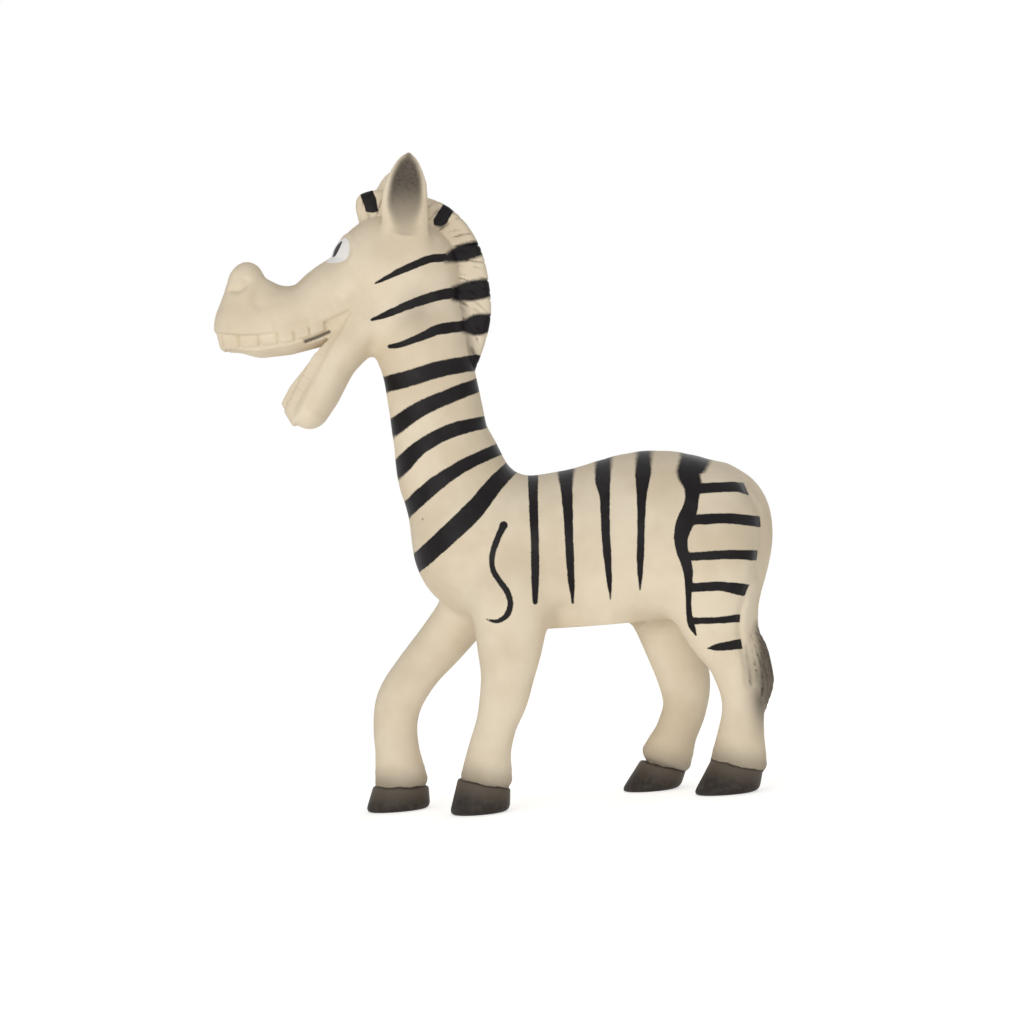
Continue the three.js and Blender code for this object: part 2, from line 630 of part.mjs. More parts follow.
// The tooth's outer face is on its -Y side and leans in above the gum
function toothSolid(width, height, slope) {
  const half = width / 2;
  const lean = slope * height;
  const outline = new THREE.Shape([
    new THREE.Vector2(-half, -TOOTH_ROOT), new THREE.Vector2(half, -TOOTH_ROOT),
    new THREE.Vector2(half, height - TOOTH_ROUND), new THREE.Vector2(half - TOOTH_ROUND, height),
    new THREE.Vector2(TOOTH_ROUND - half, height), new THREE.Vector2(-half, height - TOOTH_ROUND),
  ]);
  const geometry = new THREE.ExtrudeGeometry(outline, { depth: TOOTH_THICKNESS + lean, bevelEnabled: false });
  geometry.rotateX(Math.PI / 2).translate(0, TOOTH_THICKNESS / 2 + lean, 0);
  const corners = geometry.attributes.position;
  for (let i = 0; i < corners.count; i++) {
    const rise = Math.max(corners.getZ(i), 0);
    if (corners.getY(i) < 0) corners.setY(i, slope * rise - TOOTH_THICKNESS / 2);
  }
  return geometry;
}

function teethSolid(arch) {
  const inset = TOOTH_THICKNESS / 2;
  const row = new THREE.CatmullRomCurve3(archPoints(arch.length - inset, arch.width - 2 * inset, 0));
  const teeth = [];
  let start = 0;
  for (const width of arch.widths) {
    const end = start + width;
    for (const side of [-1, 1]) {
      const share = (1 + (side * (start + end)) / 2) / 2;
      const place = row.getPointAt(share);
      const tangent = row.getTangentAt(share);
      const length = ((end - start) * row.getLength()) / 2 - TOOTH_GAP;
      const tooth = toothSolid(length, tipHeight(arch, place.x), arch.slope);
      teeth.push(solidOf(tooth.rotateZ(Math.atan2(tangent.y, tangent.x)).translate(place.x, place.y, 0)));
    }
    start = end;
  }
  return joinAll([gumSolid(arch), ...teeth]);
}

function gumSolid(arch) {
  const ring = (z, inset) => archPoints(arch.length - inset, arch.width - 2 * inset, z);
  const rings = [
    ring(-TOOTH_ROOT, GUM_INSET), ring(0, GUM_INSET), ring(arch.height, GUM_INSET + arch.slope * arch.height),
  ];
  const face = arch.tips.map((_, i) => {
    const x = (i / (arch.tips.length - 1)) * arch.length;
    return new THREE.Vector2(x, tipHeight(arch, x) - GUM_DROP);
  });
  const far = arch.length + OVERRUN;
  const profile = [
    new THREE.Vector2(-OVERRUN, -TOOTH_ROOT), new THREE.Vector2(far, -TOOTH_ROOT),
    new THREE.Vector2(far, face.at(-1).y), ...face.reverse(), new THREE.Vector2(-OVERRUN, face.at(-1).y),
  ];
  const block = new LoftGeometry(rings, { capStart: true, capEnd: true });
  return solidOf(block).intersect(plate(profile, arch.width, 0));
}

// Lays a row of teeth along a lip that drops at an angle below the horizontal, opening down or up
function placeTeeth(solid, angle, opensUp) {
  const forward = at(-Math.cos(angle), 0, -Math.sin(angle));
  const out = at(-Math.sin(angle), 0, Math.cos(angle)).multiplyScalar(opensUp ? 1 : -1);
  const across = new THREE.Vector3().crossVectors(out, forward);
  const pose = new THREE.Matrix4().makeBasis(forward, across, out).setPosition(MOUTH_CORNER);
  return solidOf(geometryOf(solid).applyMatrix4(pose));
}

// The squeaker's seat: a flat pad under the belly, a boss inside the hollow and a stepped bore
const SQUEAKER = at(torsoX(0.5), 0, BELLY_HEIGHT - PAD_PROUD);

function roundBar(radius, from, to, sides = ROUND_SIDES) {
  const geometry = new THREE.CylinderGeometry(radius, radius, to - from, sides);
  return geometry.rotateX(Math.PI / 2).translate(0, 0, (from + to) / 2);
}

const barSolid = (radius, from, to, sides) => solidOf(roundBar(radius, from, to, sides));

const padSolid = () =>
  solidOf(roundBar(PAD_RADIUS, 0, PAD_PROUD + OVERRUN).translate(SQUEAKER.x, SQUEAKER.y, SQUEAKER.z));

const bossSolid = () =>
  solidOf(roundBar(CUP_RADIUS + CLEARANCE + BOSS_WALL, 0, CUP_DEPTH).translate(SQUEAKER.x, SQUEAKER.y, SQUEAKER.z));

const boreSolids = () => [
  roundBar(FLANGE_RADIUS + CLEARANCE, -OVERRUN, FLANGE_THICKNESS + CLEARANCE),
  roundBar(CUP_RADIUS + CLEARANCE, 0, CUP_DEPTH + OVERRUN),
].map((bar) => solidOf(bar.translate(SQUEAKER.x, SQUEAKER.y, SQUEAKER.z)));

function hollowSolid() {
  const form = shrink(blend([torsoForm(), neckForm()], BODY_FILLET), WALL);
  const front = POLL.x - NECK_DEPTH;
  const back = torsoX(1) + RUMP_CAP;
  const side = TORSO_WIDTH / 2;
  const xs = gridLines(front - HOLLOW_FACET, back + HOLLOW_FACET, HOLLOW_FACET);
  const ys = gridLines(-side - HOLLOW_FACET, side + HOLLOW_FACET, HOLLOW_FACET);
  const zs = gridLines(BELLY_HEIGHT - HOLLOW_FACET, POLL.z + NECK_DEPTH, HOLLOW_FACET);
  return skinOf(form, xs, ys, zs);
}

function skinSolid() {
  const legs = Object.values(LEG_SHARES);
  const body = blend([torsoForm(), neckForm(), ...legs.map(legForm)], BODY_FILLET);
  const tail = blend([tailForm(TAIL_SHARES, TAIL_DEPTH), tailForm(TUFT_SHARES, TUFT_DEPTH)], TAIL_FILLET);
  const form = blend([blend([body, headForm()], THROAT_FILLET), tail], TAIL_FILLET);
  const front = headX(1) - OVERRUN;
  const back = torsoX(1) + RUMP_CAP + TAIL_DEPTH + OVERRUN;
  const side = TORSO_WIDTH / 2 + OVERRUN;
  const chin = POLL.z - HEAD_LENGTH;
  const crown = POLL.z + HEAD_DEPTH;
  const xs = [...gridLines(front, POLL.x, HEAD_FACET), ...gridLines(POLL.x, back, BODY_FACET).slice(1)];
  const zs = [...gridLines(-BODY_FACET, chin, BODY_FACET), ...gridLines(chin, crown, HEAD_FACET).slice(1)];
  const smooth = skinOf(form, xs, gridLines(-side, side, BODY_FACET), zs);
  const added = [...legs.map(hoofSolid), maneSolid(), earSolid(-1), earSolid(1), padSolid()];
  const open = joinAll([smooth, ...added]).subtract(mouthSolid());
  const upperTeeth = placeTeeth(teethSolid(UPPER_ARCH), LIP_ANGLE, false);
  const lowerTeeth = placeTeeth(teethSolid(LOWER_ARCH), GAPE_ANGLE, true);
  const filled = joinAll([open, upperTeeth, lowerTeeth]);
  return cutAll(filled, [hollowSolid().subtract(bossSolid()), ...boreSolids()]);
}

// The squeaker's pieces, stacked upward from the outer face of its flange
const CUP_INSIDE = CUP_RADIUS - CUP_WALL;
const LEDGE_TOP = CUP_FLOOR + CHAMBER_HEIGHT;
const PLATE_BOTTOM = LEDGE_TOP + CLEARANCE;
const PLATE_TOP = PLATE_BOTTOM + PLATE_THICKNESS;
const REED_BOTTOM = PLATE_TOP + CLEARANCE;
const REED_TOP = REED_BOTTOM + REED_THICKNESS;
const REED_BEND = -REED_LENGTH / 2 + REED_ROOT;
const RIVET_PLACE = -REED_LENGTH / 2 + REED_ROOT / 2;

// A profile of radius and height pairs turned about the upright axis
function turned(profile, sides = ROUND_SIDES) {
  const points = profile.map(([radius, height]) => new THREE.Vector2(radius, height));
  return solidOf(new THREE.LatheGeometry(points, sides).rotateX(Math.PI / 2));
}

function airHoles(from, to) {
  return Array.from({ length: AIR_HOLES }, (_, i) => {
    const angle = (i / AIR_HOLES) * 2 * Math.PI;
    const hole = roundBar(AIR_HOLE_RADIUS, from - OVERRUN, to + OVERRUN, HOLE_SIDES);
    return solidOf(hole.translate(AIR_HOLE_RING * Math.cos(angle), AIR_HOLE_RING * Math.sin(angle), 0));
  });
}

const rivetHole = (from, to) =>
  solidOf(roundBar(RIVET_RADIUS + CLEARANCE, from - OVERRUN, to + OVERRUN, HOLE_SIDES).translate(RIVET_PLACE, 0, 0));

function squeakerCup() {
  const chamber = CUP_INSIDE - LEDGE_WIDTH;
  const cup = turned([
    [0, 0], [FLANGE_RADIUS, 0], [FLANGE_RADIUS, FLANGE_THICKNESS], [CUP_RADIUS, FLANGE_THICKNESS],
    [CUP_RADIUS, CUP_DEPTH], [CUP_INSIDE, CUP_DEPTH], [CUP_INSIDE, LEDGE_TOP], [chamber, LEDGE_TOP],
    [chamber, CUP_FLOOR], [0, CUP_FLOOR],
  ]);
  const holes = airHoles(0, 0).map((hole) => hole.intersect(barSolid(CUP_INSIDE, -OVERRUN, LEDGE_TOP)));
  return cutAll(cup, holes);
}

function squeakerCap() {
  const cap = barSolid(CUP_INSIDE - CLEARANCE, CUP_DEPTH - CAP_THICKNESS, CUP_DEPTH);
  return cutAll(cap, airHoles(CUP_DEPTH, CUP_DEPTH));
}

function reedPlate() {
  const plateDisc = barSolid(CUP_INSIDE - CLEARANCE, PLATE_BOTTOM, PLATE_TOP);
  const slotLength = REED_LENGTH - REED_ROOT - CLEARANCE;
  const slot = new THREE.BoxGeometry(slotLength, SLOT_WIDTH, PLATE_THICKNESS + OVERRUN);
  const middle = REED_BEND + slotLength / 2 + CLEARANCE;
  return cutAll(plateDisc, [
    solidOf(slot.translate(middle, 0, (PLATE_BOTTOM + PLATE_TOP) / 2)),
    rivetHole(PLATE_BOTTOM, PLATE_TOP),
  ]);
}

function reedStrip() {
  const half = REED_WIDTH / 2;
  const outline = new THREE.Shape();
  outline.moveTo(-REED_LENGTH / 2, -half);
  outline.lineTo(REED_LENGTH / 2 - half, -half);
  outline.absarc(REED_LENGTH / 2 - half, 0, half, -Math.PI / 2, Math.PI / 2);
  outline.lineTo(-REED_LENGTH / 2, half);
  const options = { depth: REED_THICKNESS, bevelEnabled: false, curveSegments: HOLE_SIDES };
  const strip = new THREE.ExtrudeGeometry(outline, options).translate(0, 0, REED_BOTTOM);
  return solidOf(strip).subtract(rivetHole(REED_BOTTOM, REED_TOP));
}

function reedRivet() {
  const low = PLATE_BOTTOM - CLEARANCE;
  const high = REED_TOP + CLEARANCE;
  return turned([
    [0, low - RIVET_HEAD_HEIGHT], [RIVET_HEAD_RADIUS, low - RIVET_HEAD_HEIGHT], [RIVET_HEAD_RADIUS, low],
    [RIVET_RADIUS, low], [RIVET_RADIUS, high], [RIVET_HEAD_RADIUS, high],
    [RIVET_HEAD_RADIUS / 2, high + RIVET_HEAD_HEIGHT], [0, high + RIVET_HEAD_HEIGHT],
  ], HOLE_SIDES);
}

// The assembly
const LATEX = new THREE.MeshStandardMaterial({ color: 0xd9ccb1, roughness: 0.72, metalness: 0 });
const POLYTHENE = new THREE.MeshStandardMaterial({ color: 0xe8e4da, roughness: 0.45, metalness: 0 });
const BRASS = new THREE.MeshStandardMaterial({ color: 0xb08d4a, roughness: 0.35, metalness: 1 });

function named(name, solid, material) {
  const mesh = new THREE.Mesh(geometryOf(solid), material);
  mesh.name = name;
  return mesh;
}

const skin = named('latex_skin', skinSolid(), LATEX);

const squeaker = new THREE.Group();
squeaker.position.copy(SQUEAKER);
squeaker.add(
  named('squeaker_cup', squeakerCup(), POLYTHENE),
  named('squeaker_cap', squeakerCap(), POLYTHENE),
  named('reed_plate', reedPlate(), POLYTHENE),
  named('reed', reedStrip(), BRASS),
);
const rivet = named('reed_rivet', reedRivet(), BRASS);
rivet.position.x = RIVET_PLACE;
squeaker.add(rivet);

// The zebra stands on z = 0 with the middle of its overall box over the origin
const zebra = new THREE.Group();
zebra.add(skin, squeaker);
const middle = new THREE.Box3().setFromObject(skin).getCenter(at(0, 0, 0));
zebra.position.set(-middle.x, -middle.y, 0);

export default zebra;
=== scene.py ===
# A hollow natural rubber zebra: its skin with the painted coat, and the finishes of its squeaker.
# Shapes are worked out in millimetres round the middle of the torso, as in the part, and the skin is
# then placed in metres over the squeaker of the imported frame. The zebra faces -X, its left side is -Y.

import json
import math
from concurrent.futures import ThreadPoolExecutor

import bpy
import numpy as np
from mathutils import Matrix, Vector


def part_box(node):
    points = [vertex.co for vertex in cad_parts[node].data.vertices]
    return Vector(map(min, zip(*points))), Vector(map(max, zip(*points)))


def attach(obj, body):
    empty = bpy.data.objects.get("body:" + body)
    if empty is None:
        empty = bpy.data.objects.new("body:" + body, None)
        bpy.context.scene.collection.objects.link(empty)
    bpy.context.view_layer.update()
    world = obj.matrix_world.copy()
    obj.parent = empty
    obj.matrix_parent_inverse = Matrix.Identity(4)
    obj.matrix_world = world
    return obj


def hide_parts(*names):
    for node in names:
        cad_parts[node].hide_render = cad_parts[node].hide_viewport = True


MM = 0.001

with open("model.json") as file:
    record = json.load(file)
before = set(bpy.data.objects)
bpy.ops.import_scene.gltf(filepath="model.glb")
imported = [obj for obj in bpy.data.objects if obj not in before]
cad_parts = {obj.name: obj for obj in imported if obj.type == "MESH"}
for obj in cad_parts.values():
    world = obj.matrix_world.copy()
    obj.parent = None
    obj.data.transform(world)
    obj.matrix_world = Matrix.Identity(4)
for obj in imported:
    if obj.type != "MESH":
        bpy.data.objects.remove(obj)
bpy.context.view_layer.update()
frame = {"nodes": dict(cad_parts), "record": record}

# Camera: where it aims, in the part's own millimetres, and how it is turned
AIM = np.array([-22.2, 0, 88.7])
CAMERA_AZIMUTH = math.radians(-2.1)
CAMERA_ELEVATION = math.radians(-1.8)
CAMERA_ROLL = math.radians(-4.4)
CAMERA_DISTANCE = 629.7
LENS = 72.7
SENSOR = 36
CLIP_RANGE = (0.05, 50)
PHOTO_SIZE = 1024
PIXELS_PER_SLOPE = PHOTO_SIZE * LENS / SENSOR
PIXEL = CAMERA_DISTANCE / PIXELS_PER_SLOPE

# Spacing of the fine grid in the body, in the head and across the figure
BODY_STEP, HEAD_STEP, CROSS_STEP = ((0.6, 0.36, 0.45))

# Driving sizes of the torso, the neck and the legs
BELLY_HEIGHT = 53
TORSO_LENGTH = 72
TORSO_DEPTH = 50
TORSO_WIDTH = 44
CHEST_CAP = 8
NECK_CAP = 10
RUMP_CAP = 16.5
NECK_HEIGHT = 76
NECK_LEAN = 12
NECK_DEPTH = 27
NECK_WIDTH = 22
HIP_RISE = 9
STANCE = 26
LEG_DEPTH = 14
LEG_WIDTH = 13.7
BODY_FILLET = 7
THROAT_FILLET = 3.5

# Driving sizes of the hooves
HOOF_HEIGHT = 10
HOOF_LENGTH = 18.6
HOOF_WIDTH = 17
HOOF_ROUND = 0.8
CORONET_FILLET = 0.25
SOLE_ROUND = 2.2

# Driving sizes of the head, the jaw and the teeth
HEAD_LENGTH = 60
HEAD_DEPTH = 38
HEAD_WIDTH = 27
CRANIUM_CAP = 10.2
MUZZLE_CAP = 9.65
NOSE_DEPTH = 17.2
NOSE_WIDTH = 10.5
NOSE_SPREAD = 7.6
LOBE_SIZE = 3.2
LOBE_FILLET = 1.2
JAW_LENGTH = 38.5
JAW_DEPTH = 14
JAW_WIDTH = 19
JAW_CAP = 6.4
NOSE_FILLET = 8
HEAD_FILLET = 4
GAPE_ANGLE = math.radians(57.2)
LIP_ANGLE = math.radians(5.1)
LIP_ROUND = 0.8
RIM_HEIGHT = 1.6
RIM_SLOPE = 0.9
TOOTH_THICKNESS = 2.6
WEB_DROP = 0.5
UPPER_GUM_FILLET = 0.3
LOWER_GUM_FILLET = 1.4

# Driving sizes of the ears, the mane and the tail
EAR_LENGTH = 24.85
EAR_WIDTH = 13
EAR_THICKNESS = 5
EAR_SPREAD = 19
EAR_SPLAY = math.radians(7)
EAR_FILLET = 2.5
EAR_RIM = 1.5
MANE_THICKNESS = 6.8
MANE_ROUND = 2
MANE_FILLET = 0.5
GROOVE_DEPTH = 0.75
TAIL_DEPTH = 6
TUFT_DEPTH = 10
TAIL_FILLET = 3.4
TUFT_FILLET = 1.2

# Driving sizes of the squeaker's seat
PAD_RADIUS = 13
PAD_PROUD = 0.4
PAD_FILLET = 6
PAD_ROUND = 0.5
BORE_ROUND = 0.1
BORE_RADIUS = 8.7
BORE_DEPTH = 8.9
FLANGE_BORE_RADIUS = 10.9
FLANGE_BORE_DEPTH = 1.5

# Forms give the distance to their surface for an array of points, negative inside
SPANS_PER_STATION = 4
REACH = 11
FAR = 1000.0
TINY = 1e-9
SIDES = (-1, 1)


def catmull_rom(points, count):
    """Places along a centripetal curve through the points."""
    points = np.array(points, float)
    last = len(points) - 1
    made = []
    for i in range(count + 1):
        place = last * i / count
        span = min(int(place), last - 1)
        w = place - span
        p1, p2 = points[span], points[span + 1]
        p0 = points[span - 1] if span > 0 else 2 * points[0] - points[1]
        p3 = points[span + 2] if span + 2 <= last else 2 * points[last] - points[last - 1]
        d0, d1, d2 = [math.sqrt(math.dist(a, b)) or 1.0 for a, b in ((p0, p1), (p1, p2), (p2, p3))]
        t1 = ((p1 - p0) / d0 - (p2 - p0) / (d0 + d1) + (p2 - p1) / d1) * d1
        t2 = ((p2 - p1) / d1 - (p3 - p1) / (d1 + d2) + (p3 - p2) / d2) * d1
        made.append(p1 + t1 * w + (3 * (p2 - p1) - 2 * t1 - t2) * w**2 + (2 * (p1 - p2) + t1 + t2) * w**3)
    return np.array(made)


def ellipsoid_distance(u, v, w, a, b, c):
    near = np.sqrt((u / a) ** 2 + (v / b) ** 2 + (w / c) ** 2)
    slope = np.sqrt((u / a**2) ** 2 + (v / b**2) ** 2 + (w / c**2) ** 2)
    return near * (near - 1) / np.maximum(slope, TINY)


def nearby(distance, low, high):
    """The form is worked out only for the points inside a box, and is far away elsewhere."""

    def limited(points):
        out = np.full(len(points), FAR)
        inside = np.flatnonzero(np.all((points > low) & (points < high), axis=1))
        if len(inside):
            out[inside] = distance(points[inside])
        return out

    return limited


def limb(stations, cap_start=None, cap_end=None):
    """A chain of elliptical stations: centre x, y, z, half-depth in the XZ plane, half-width across.

    Each end is rounded by a cap, as long as the end is deep where no length is given.
    """
    rows = np.array(stations, float)
    cap_start = rows[0, 3] if cap_start is None else cap_start
    cap_end = rows[-1, 3] if cap_end is None else cap_end
    spans = (len(rows) - 1) * SPANS_PER_STATION
    centre = catmull_rom(rows[:, :3], spans)
    size = catmull_rom(rows[:, 3:], spans)
    reach = max(size.max(), cap_start, cap_end) + REACH

    def distance(points):
        x, y, z = points.T
        best = np.full(len(points), FAR)
        for i in range(spans):
            a, b = centre[i], centre[i + 1]
            dx, dz = b[0] - a[0], b[2] - a[2]
            length = math.hypot(dx, dz)
            along = ((x - a[0]) * dx + (z - a[2]) * dz) / length**2
            t = np.clip(along, 0, 1)
            depth = size[i, 0] + (size[i + 1, 0] - size[i, 0]) * t
            width = size[i, 1] + (size[i + 1, 1] - size[i, 1]) * t
            past = (along - t) * length
            side = ((x - a[0]) * dz - (z - a[2]) * dx) / length
            across = y - a[1] - (b[1] - a[1]) * t
            cap = depth
            if i == 0:
                cap = np.where(past < 0, cap_start, cap)
            if i == spans - 1:
                cap = np.where(past > 0, cap_end, cap)
            best = np.minimum(best, ellipsoid_distance(side, across, past, depth, width, cap))
        return best

    return nearby(distance, centre.min(0) - reach, centre.max(0) + reach)


def ellipsoid(centre, radii):
    centre, radii = np.array(centre), np.array(radii)
    reach = radii.max() + REACH

    def distance(points):
        return ellipsoid_distance(*(points - centre).T, *radii)

    return nearby(distance, centre - reach, centre + reach)


def smooth_min(a, b, fillet):
    overlap = np.maximum(fillet - np.abs(a - b), 0) / fillet
    return np.minimum(a, b) - overlap * overlap * fillet / 4


def smooth_max(a, b, fillet):
    return -smooth_min(-a, -b, fillet)


def blend(forms, fillet):
    def distance(points):
        total = forms[0](points)
        for form in forms[1:]:
            total = smooth_min(total, form(points), fillet)
        return total

    return distance


def line_distance(points, line):
    """Distance in the plane from points to a line of places, and how far along the line each is nearest."""
    best = np.full(len(points), FAR**2)
    place = np.zeros(len(points))
    for i, (a, b) in enumerate(zip(line[:-1], line[1:])):
        edge = b - a
        away = points - a
        t = np.clip(away @ edge / max(edge @ edge, TINY), 0, 1)
        gap = ((away - t[:, None] * edge) ** 2).sum(1)
        place = np.where(gap < best, i + t, place)
        best = np.minimum(best, gap)
    return np.sqrt(best), place


def outline_distance(points, outline):
    """Signed distance in the plane to a closed outline, negative inside."""
    outline = np.asarray(outline, float)
    closed = np.vstack([outline, outline[:1]])
    gap, _ = line_distance(points, closed)
    inside = np.zeros(len(points), bool)
    x, z = points.T
    for (ax, az), (bx, bz) in zip(closed[:-1], closed[1:]):
        crosses = (az > z) != (bz > z)
        inside ^= crosses & (x < ax + (bx - ax) * (z - az) / ((bz - az) or TINY))
    return np.where(inside, -gap, gap)


def rounded(parts, radius):
    """The distance to a block whose faces lie at the given distances, with round edges."""
    grown = [part + radius for part in parts]
    outside = np.sqrt(sum(np.maximum(part, 0) ** 2 for part in grown))
    return np.minimum(np.maximum.reduce(grown), 0) + outside - radius


def smooth_step(value, start, end):
    t = np.clip((value - start) / (end - start), 0, 1)
    return t * t * (3 - 2 * t)


# The torso. Each row of shares: along its length, up its depth, half-depth and half-width.
TORSO_SHARES = [
    [0, 0.53, 0.41, 0.386],
    [0.25, 0.47, 0.455, 0.455],
    [0.5, 0.476, 0.478, 0.5],
    [0.77, 0.505, 0.521, 0.5],
    [1, 0.487, 0.455, 0.455],
]


def torso_x(share):
    return (share - 0.5) * TORSO_LENGTH


def torso_z(share):
    return BELLY_HEIGHT + share * TORSO_DEPTH


def torso_form():
    stations = [
        [torso_x(along), 0, torso_z(up), depth * TORSO_DEPTH, width * TORSO_WIDTH]
        for along, up, depth, width in TORSO_SHARES
    ]
    return limb(stations, CHEST_CAP, RUMP_CAP)


# The neck. Each row of shares: up its height, forward along its lean, half-depth and half-width.
NECK_BASE_SHARES = {"along": 0.014, "up": 0.62}
NECK_SHARES = [
    [0, -0.1, 0.6, 0.7],
    [0.224, 0.37, 0.61, 0.59],
    [0.368, 0.58, 0.538, 0.523],
    [0.507, 0.67, 0.522, 0.477],
    [0.658, 0.785, 0.512, 0.477],
    [0.842, 1, 0.545, 0.545],
    [1, 1.1, 0.5, 0.568],
]


def neck_x(lean):
    return torso_x(NECK_BASE_SHARES["along"]) - lean * NECK_LEAN


def neck_z(up):
    return torso_z(NECK_BASE_SHARES["up"]) + up * NECK_HEIGHT


POLL = POLL_X, POLL_Z = np.array([neck_x(1), neck_z(1)])
NECK_BASE_Z = neck_z(0.4)


def neck_form():
    stations = [
        [neck_x(lean), 0, neck_z(up), depth * NECK_DEPTH, width * NECK_WIDTH]
        for up, lean, depth, width in NECK_SHARES
    ]
    return limb(stations, NECK_CAP)


# The head, from the poll to the muzzle. Each row of shares: forward and up from the poll in head
# lengths, half-depth and half-width.
HEAD_SHARES = [
    [0.0, 0.06, 0.42, 0.46],
    [0.117, 0.078, 0.452, 0.5],
    [0.25, 0.036, 0.29, 0.48],
    [0.383, -0.043, 0.313, 0.444],
    [0.55, -0.108, 0.249, 0.407],
    [0.717, -0.142, 0.262, 0.407],
    [0.86, -0.155, 0.24, 0.4],
]
NOSE_SHARES = {"forward": 0.831, "up": 0.026, "length": 0.36}
LOBE_SHARES = {"forward": 0.863, "up": 0.077, "across": 0.087, "width": 0.8}
CREASE_SHARES = [[0.907, 0.022], [0.873, 0.013], [0.838, 0.035], [0.827, 0.063]]
CREASE_DEPTH = 1
CREASE_WIDTH = 1.2
NOSE_FOLD_SHARES = [[0.743, 0.089], [0.775, 0.032], [0.785, -0.015], [0.778, -0.065]]
NOSE_FOLD_DEPTH = 0.6
NOSE_FOLD_WIDTH = 2.8
# The eye lies on the slope of the forehead: forward and up from the poll in head lengths, and its
# sizes along the slope and across. A lid rises over its upper and rear edge.
EYE_SHARES = {"forward": 0.36, "up": 0.182}
EYE_SLOPE = math.radians(51.5)
EYE_ACROSS = 5.9
EYE_HALF_SIZES = (4.6, 4.4)
PUPIL_ACROSS = 4.9
PUPIL_HALF_SIZES = (2.8, 1.5)
PUPIL_SHIFT = 0.5
BROW_SWELL = 0.3
BROW_HALF_SIZES = (5.6, 10)
LID_HEIGHT = 0.5
LID_REACH = 1.3
LID_WIDTH = 0.14
LID_TURN = 0.7
LID_RISE = (-1, 3)


def head_x(forward):
    return POLL_X - forward * HEAD_LENGTH


def head_z(up):
    return POLL_Z + up * HEAD_LENGTH


def skull_form():
    stations = [
        [head_x(forward), 0, head_z(up), depth * HEAD_DEPTH, width * HEAD_WIDTH]
        for forward, up, depth, width in HEAD_SHARES
    ]
    return limb(stations, CRANIUM_CAP, MUZZLE_CAP)


def nose_form():
    radii = [NOSE_SHARES["length"] * NOSE_DEPTH, NOSE_WIDTH / 2, NOSE_DEPTH / 2]
    x, z = head_x(NOSE_SHARES["forward"]), head_z(NOSE_SHARES["up"])
    return blend([ellipsoid([x, side * NOSE_SPREAD / 2, z], radii) for side in SIDES], HEAD_FILLET)


def lobe_form(side):
    """The round side of a nostril."""
    across = side * LOBE_SHARES["across"] * HEAD_LENGTH
    centre = [head_x(LOBE_SHARES["forward"]), across, head_z(LOBE_SHARES["up"])]
    return ellipsoid(centre, [LOBE_SIZE, LOBE_SHARES["width"] * LOBE_SIZE, LOBE_SIZE])


def eye_places(points, across, half_sizes, shift):
    """How far from the middle of a painted eye, where 1 is its edge, and the places along and across."""
    x = points[:, 0] - head_x(EYE_SHARES["forward"])
    z = points[:, 2] - head_z(EYE_SHARES["up"])
    along = x * math.cos(EYE_SLOPE) + z * math.sin(EYE_SLOPE) - shift
    aside = np.abs(points[:, 1]) - across
    return np.hypot(along / half_sizes[0], aside / half_sizes[1]), along, aside


def eye_relief(points):
    """The forehead's swell between the eyes, and the lid of each."""
    near, along, aside = eye_places(points, EYE_ACROSS, EYE_HALF_SIZES, 0)
    far = (along / BROW_HALF_SIZES[0]) ** 2 + (points[:, 1] / BROW_HALF_SIZES[1]) ** 2
    ball = BROW_SWELL * np.maximum(1 - far, 0) ** 2 * (points[:, 2] > MOUTH_CORNER[1])
    lid = LID_HEIGHT * np.exp(-(((near - LID_REACH) / LID_WIDTH) ** 2))
    return ball + lid * smooth_step(along + LID_TURN * aside, *LID_RISE)


# The mouth opens from its corner. The upper lip runs forward as a shallow curve and the lower lip
# straight down the jaw.
MOUTH_CORNER_SHARES = {"forward": 0.31, "up": -0.118}
MOUTH_CORNER = np.array([head_x(MOUTH_CORNER_SHARES["forward"]), head_z(MOUTH_CORNER_SHARES["up"])])
UPPER_LIP_SHARES = [
    [0.138, -0.05], [0.267, -0.092], [0.417, -0.095], [0.567, -0.09], [0.685, -0.062], [0.8, -0.02],
]
LIP_FOLD_SHARES = [[0.22, -0.045], [0.3, -0.063], [0.385, -0.066]]
FOLD_DEPTH = 0.25
FOLD_WIDTH = 0.7
# The web of skin in the corner, as places forward and up from the corner in head lengths
CORNER_WEB_SHARES = [[-0.05, 0.03], [0.137, -0.045], [0.127, -0.1], [0.108, -0.128], [-0.02, -0.05]]
WEB_INSET = 0.8
# Each row of shares: along the jaw, below the lip line in jaw depths, half-depth and half-width
JAW_SHARES = [
    [-0.034, 0.42, 0.53, 0.6],
    [0.18, 0.27, 0.51, 0.53],
    [0.415, 0.165, 0.455, 0.505],
    [0.672, 0.175, 0.455, 0.49],
    [0.83, 0.165, 0.43, 0.46],
]
JAW_FORWARD = np.array([-math.cos(GAPE_ANGLE), -math.sin(GAPE_ANGLE)])
JAW_OUT = np.array([-math.sin(GAPE_ANGLE), math.cos(GAPE_ANGLE)])


def jaw_point(along, below):
    return MOUTH_CORNER + along * JAW_FORWARD - below * JAW_OUT


def jaw_form():
    stations = []
    for along, below, depth, width in JAW_SHARES:
        x, z = jaw_point(along * JAW_LENGTH, below * JAW_DEPTH)
        stations.append([x, 0, z, depth * JAW_DEPTH, width * JAW_WIDTH])
    return limb(stations, None, JAW_CAP)


def head_places(shares, start=MOUTH_CORNER):
    """Places in the XZ plane, given forward and up from the mouth corner in head lengths."""
    return np.array([start + np.array([-forward, up]) * HEAD_LENGTH for forward, up in shares])


